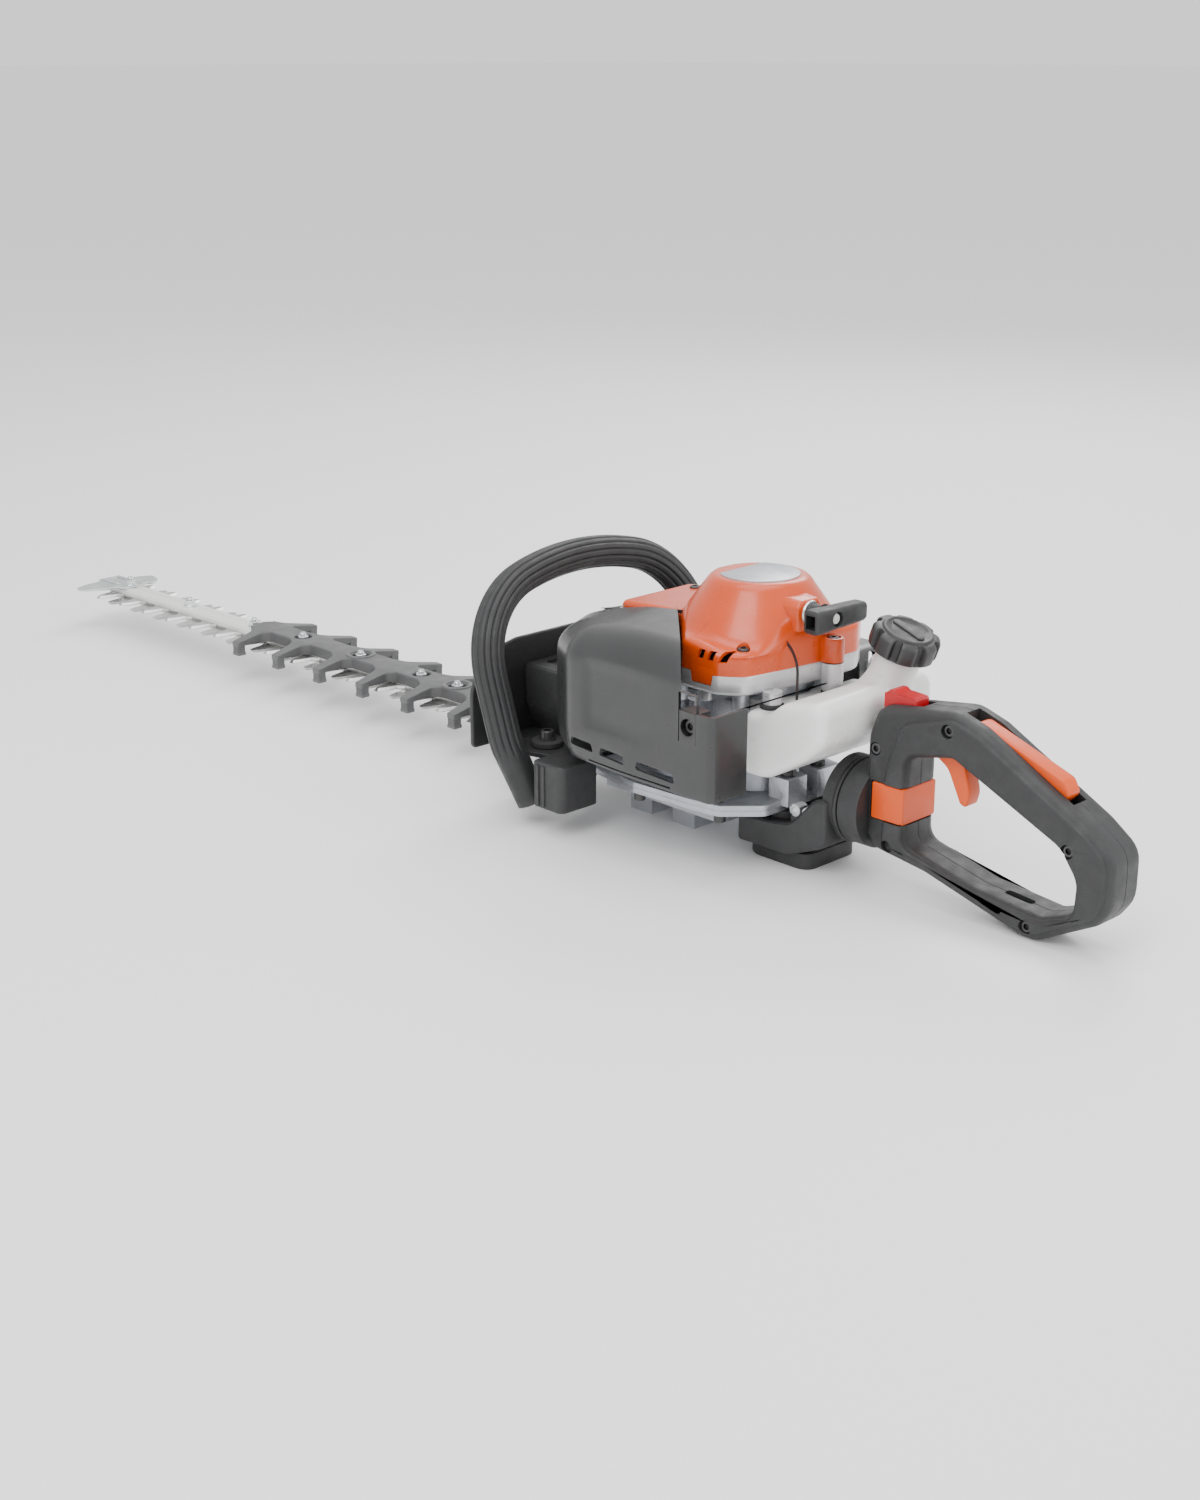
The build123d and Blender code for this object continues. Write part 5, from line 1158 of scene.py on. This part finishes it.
class TRIMMER_OT_rear_handle(bpy.types.Operator):
    """Two moulded half shells with screw wells, latch pocket and lever channels"""
    bl_idname = "trimmer.rear_handle"
    bl_label = "Rear Handle"

    def execute(self, context):
        outline, opening = rounded(OUTER, OUTER_ROUND, 7), rounded(INNER, INNER_ROUND, 7)
        raised = [(128, 30), (128, 84), (140, 124), (184, 137), (206, 130), (288, 86), (308, 71), (308, 39),
                  (299, 26), (257, 3.5), (243, 3.5), (166, 24)]
        panel = rounded(raised, [4, 40, 20, 20, 22, 30, 18, 22, 12, 14, 14, 30], 7)
        for name, way in (("rear_handle_left", 1), ("rear_handle_right", -1)):
            layers = [(0.04, 0.5),
                      (0.5, 0)] + [(17.2 - 6 * (1 - sin(pi / 2 * k / 5)), 6 * (1 - cos(pi / 2 * k / 5)))
                                                 for k in range(6)]
            body = prism([(way * y, [inset(outline, d), inset(opening, -min(d, 5))]) for y, d in layers],
                         side)
            proud = [(8, 1.5)] + [(18.9 - 4 * (1 - sin(pi / 2 * k / 4)), 1.5 + 4 * (1 - cos(pi / 2 * k / 4)))
                                  for k in range(5)]
            skin = prism([(way * y, [inset(panel, d), inset(opening, -d)]) for y, d in proud], side)
            collar = lathe([(19, 84.5), (25.3, 84.5), (25.3, 87.5), (22.9, 87.8), (22.9, 100.4), (29, 100.4),
                            (30, 101.2), (30, 118), (19, 118)], (0, 0, TURN_Z), (1, 0, 0), 64)
            half = cut(collar, box_tool((60, min(-way * 60, 0), 0), (140, max(-way * 60, 0), 120)))
            body = fused(body, skin, half)
            tools = [bar([[(155, 125), (155, 90), (202, 90), (202, 112), (188, 124)]], -7, 7, side),
                     bar([[(187, 160), (187, 116), (270, 79), (274, 108), (274, 160)]], -7, 7, side),
                     box_tool((117, -7.5, 123), (153, 7.5, 163), 1),
                     box_tool((120, -40, 50.6), (160, 40, 77.4)),
                     lathe([(0, 80), (19, 80), (19, 110), (0, 110)], (0, 0, TURN_Z), (1, 0, 0), 40)]
            for x, z in SCREWS:
                tools.append(lathe([(0, 13.6), (4.6, 13.6), (5.0, 25), (0, 25)], (x, 0, z), (0, way, 0), 28))
            tools.append(box_tool((222, -3.4, 5), (244, 3.4, 40), 3))
            body = cut(body, *tools)
            block = slab(oblong((118, 49), (143, 79), 1), 0.05, 11, (0, 0.5),
                         lay=lambda a, b, h, w=way: Vector((a, w * h, b)))
            block = cut(block, lathe([(0, 110), (4.1, 110), (4.1, 150), (0, 150)], (0, 0, 64), (1, 0, 0), 24))
            body = fused(body, block)
            piece(name + "_skin", body, "charcoal", "rear_handle", (name,), angle=36)
        screws = [socket_screw((x, -13.9, z), (0, -1, 0), 4.2, 2.8) for x, z in SCREWS[:4]]
        screws += [lathe([(0, -13), (1.95, -13), (1.95, 13.9), (0, 13.9)], (x, 0, z), (0, 1, 0), 16)
                   for x, z in SCREWS[:4]]
        piece("handle_screw_heads", joined(*screws), "black_bolt", "rear_handle", ("handle_screws",))
        return {"FINISHED"}


class TRIMMER_OT_levers(bpy.types.Operator):
    """Throttle trigger, lockout lever, stop switch and swivel latch"""
    bl_idname = "trimmer.levers"
    bl_label = "Levers"

    def execute(self, context):
        trigger = rounded([(158, 117), (170, 121), (186, 106), (193, 82), (190, 72), (185, 74), (174, 96),
                           (158, 106)], [2, 3, 14, 12, 2.4, 2.4, 12, 2], 5)
        bore = circle(165, 113, 2, 20)
        piece("trigger_skin", slab(trigger, -6.6, 6.6, 1.6, [bore], side, 4), "bright_orange",
              "throttle_trigger", ("throttle_trigger",), angle=40)
        lockout = rounded([(190, 129), (197, 134), (264, 110), (269, 101), (262, 93), (192, 117)],
                          [2, 6, 5, 4, 3, 2], 5)
        bore = circle(196, 124, 2, 20)
        piece("lockout_skin", slab(lockout, -6.6, 6.6, 2.0, [bore], side, 4), "bright_orange",
              "lockout_lever", ("lockout_lever",), angle=40)
        plate = slab(oblong((119, -7), (147, 7), 1.5), 124, 137, (0.2, 0.8))
        wedge = rounded([(121, 136), (145.6, 136), (145.6, 137.6), (131, 138.4), (128.4, 140.2),
                         (124.2, 140.0),
                         (121, 137)], 0.6)
        piece("switch_skin", fused(plate, bar([wedge], -6.6, 6.6, side)), "red", "stop_switch",
              ("stop_switch",), angle=30)
        bridge = slab(oblong((-18, 51.2), (18, 76.8), 2), 143.6, 147.5, 0.8, lay=front)
        arms = [slab(oblong((121, 51.2), (146, 76.8), [1.5, 2, 2, 1.5]), way * 15 - 3, way * 15 + 3, 0.8,
                     lay=side)
                for way in (-1, 1)]
        pin = lathe([(0, 118), (3.4, 118), (3.9, 119), (3.9, 145), (0, 145)], (0, 0, 64), (1, 0, 0), 28)
        latch = fused(bridge, *arms, pin)
        scoops = [bar([rounded([(120, way * 12.4), (131, way * 14.2), (131, way * 16.6), (120, way * 17.4)],
                               1)],
                      51.9, 76.1) for way in (-1, 1)]
        piece("latch_skin", cut(latch, *scoops), "bright_orange", "swivel_latch", ("swivel_latch",), angle=30)
        return {"FINISHED"}


class TRIMMER_OT_stage(bpy.types.Operator):
    """Pale floor, soft lights and the camera"""
    bl_idname = "trimmer.stage"
    bl_label = "Stage"

    def execute(self, context):
        scene = context.scene
        shape = bmesh.new()
        bmesh.ops.create_grid(shape, x_segments=8, y_segments=8, size=60.0)
        mesh = bpy.data.meshes.new("floor")
        shape.to_mesh(mesh)
        shape.free()
        paper = bpy.data.materials.new("paper")
        paper.use_nodes = True
        shader = paper.node_tree.nodes["Principled BSDF"]
        shader.inputs["Base Color"].default_value = (0.93, 0.93, 0.93, 1)
        shader.inputs["Roughness"].default_value = 0.55
        mesh.materials.append(paper)
        floor = bpy.data.objects.new("floor", mesh)
        scene.collection.objects.link(floor)
        world = bpy.data.worlds.new("studio")
        world.use_nodes = True
        sky = world.node_tree.nodes["Background"]
        sky.inputs["Color"].default_value = (1.0, 1.0, 1.0, 1)
        sky.inputs["Strength"].default_value = 1.15
        scene.world = world
        for name, place, aim, size, power in (
                ("key", (0.6, -1.6, 1.9), (0.2, 0, 0.05), 1.2, 26),
                ("fill", (1.9, 0.4, 1.0), (0.3, 0, 0.1), 0.9, 9),
                ("rim", (-0.6, 1.7, 1.5), (0.1, 0, 0.1), 1.0, 21),
                ("top", (0.2, 0.0, 2.2), (0.1, 0, 0.0), 1.6, 23)):
            light = bpy.data.lights.new(name, "AREA")
            light.size = size
            light.energy = power
            lamp = bpy.data.objects.new(name, light)
            lamp.location = place
            lamp.rotation_euler = (Vector(aim) - Vector(place)).to_track_quat("-Z", "Y").to_euler()
            scene.collection.objects.link(lamp)
        lens = bpy.data.cameras.new("camera")
        lens.lens = 50.4
        lens.sensor_width = 36
        lens.clip_start = 0.01
        camera = bpy.data.objects.new("camera", lens)
        camera.location = (1.2348, -1.0829, 0.5472)
        camera.rotation_euler = Vector((-0.6802, 0.6608, -0.3174)).to_track_quat("-Z", "Y").to_euler()
        scene.collection.objects.link(camera)
        scene.camera = camera
        return {"FINISHED"}


PIECES = (TRIMMER_OT_blades, TRIMMER_OT_rail, TRIMMER_OT_tip_plate, TRIMMER_OT_rail_studs,
          TRIMMER_OT_finger_guard, TRIMMER_OT_front_handle, TRIMMER_OT_hand_guard, TRIMMER_OT_exhaust_cover,
          TRIMMER_OT_fan_housing, TRIMMER_OT_starter_cover, TRIMMER_OT_starter_grip, TRIMMER_OT_fuel_tank,
          TRIMMER_OT_fuel_cap, TRIMMER_OT_gear_case, TRIMMER_OT_engine, TRIMMER_OT_air_cover,
          TRIMMER_OT_rear_arm, TRIMMER_OT_cable_clip, TRIMMER_OT_rear_handle, TRIMMER_OT_levers,
          TRIMMER_OT_stage)


class TRIMMER_PT_panel(bpy.types.Panel):
    """Lists the pieces and the values that shape them."""
    bl_idname = "TRIMMER_PT_panel"
    bl_label = "Hedge Trimmer"
    bl_space_type = "VIEW_3D"
    bl_region_type = "UI"
    bl_category = "Trimmer"

    def draw(self, context):
        for group in (context.scene.trimmer_sizes, context.scene.trimmer_colours):
            column = self.layout.column()
            for name in group.__annotations__:
                column.prop(group, name)
        for part in PIECES:
            self.layout.operator(part.bl_idname)


CLASSES = (TrimmerSizes, TrimmerColours) + PIECES + (TRIMMER_PT_panel,)


def register():
    """Make the classes and the scene's settings known."""
    for part in CLASSES:
        bpy.utils.register_class(part)
    bpy.types.Scene.trimmer_sizes = PointerProperty(type=TrimmerSizes)
    bpy.types.Scene.trimmer_colours = PointerProperty(type=TrimmerColours)


def unregister():
    """Take the settings and classes away again."""
    del bpy.types.Scene.trimmer_colours
    del bpy.types.Scene.trimmer_sizes
    for part in reversed(CLASSES):
        bpy.utils.unregister_class(part)


def main():
    """Make the classes and settings known, then build every piece in order."""
    register()
    for part in PIECES:
        group, name = part.bl_idname.split(".")
        if "FINISHED" not in getattr(getattr(bpy.ops, group), name)():
            raise RuntimeError(part.bl_label + " was not built")


if __name__ == "__main__":
    main()
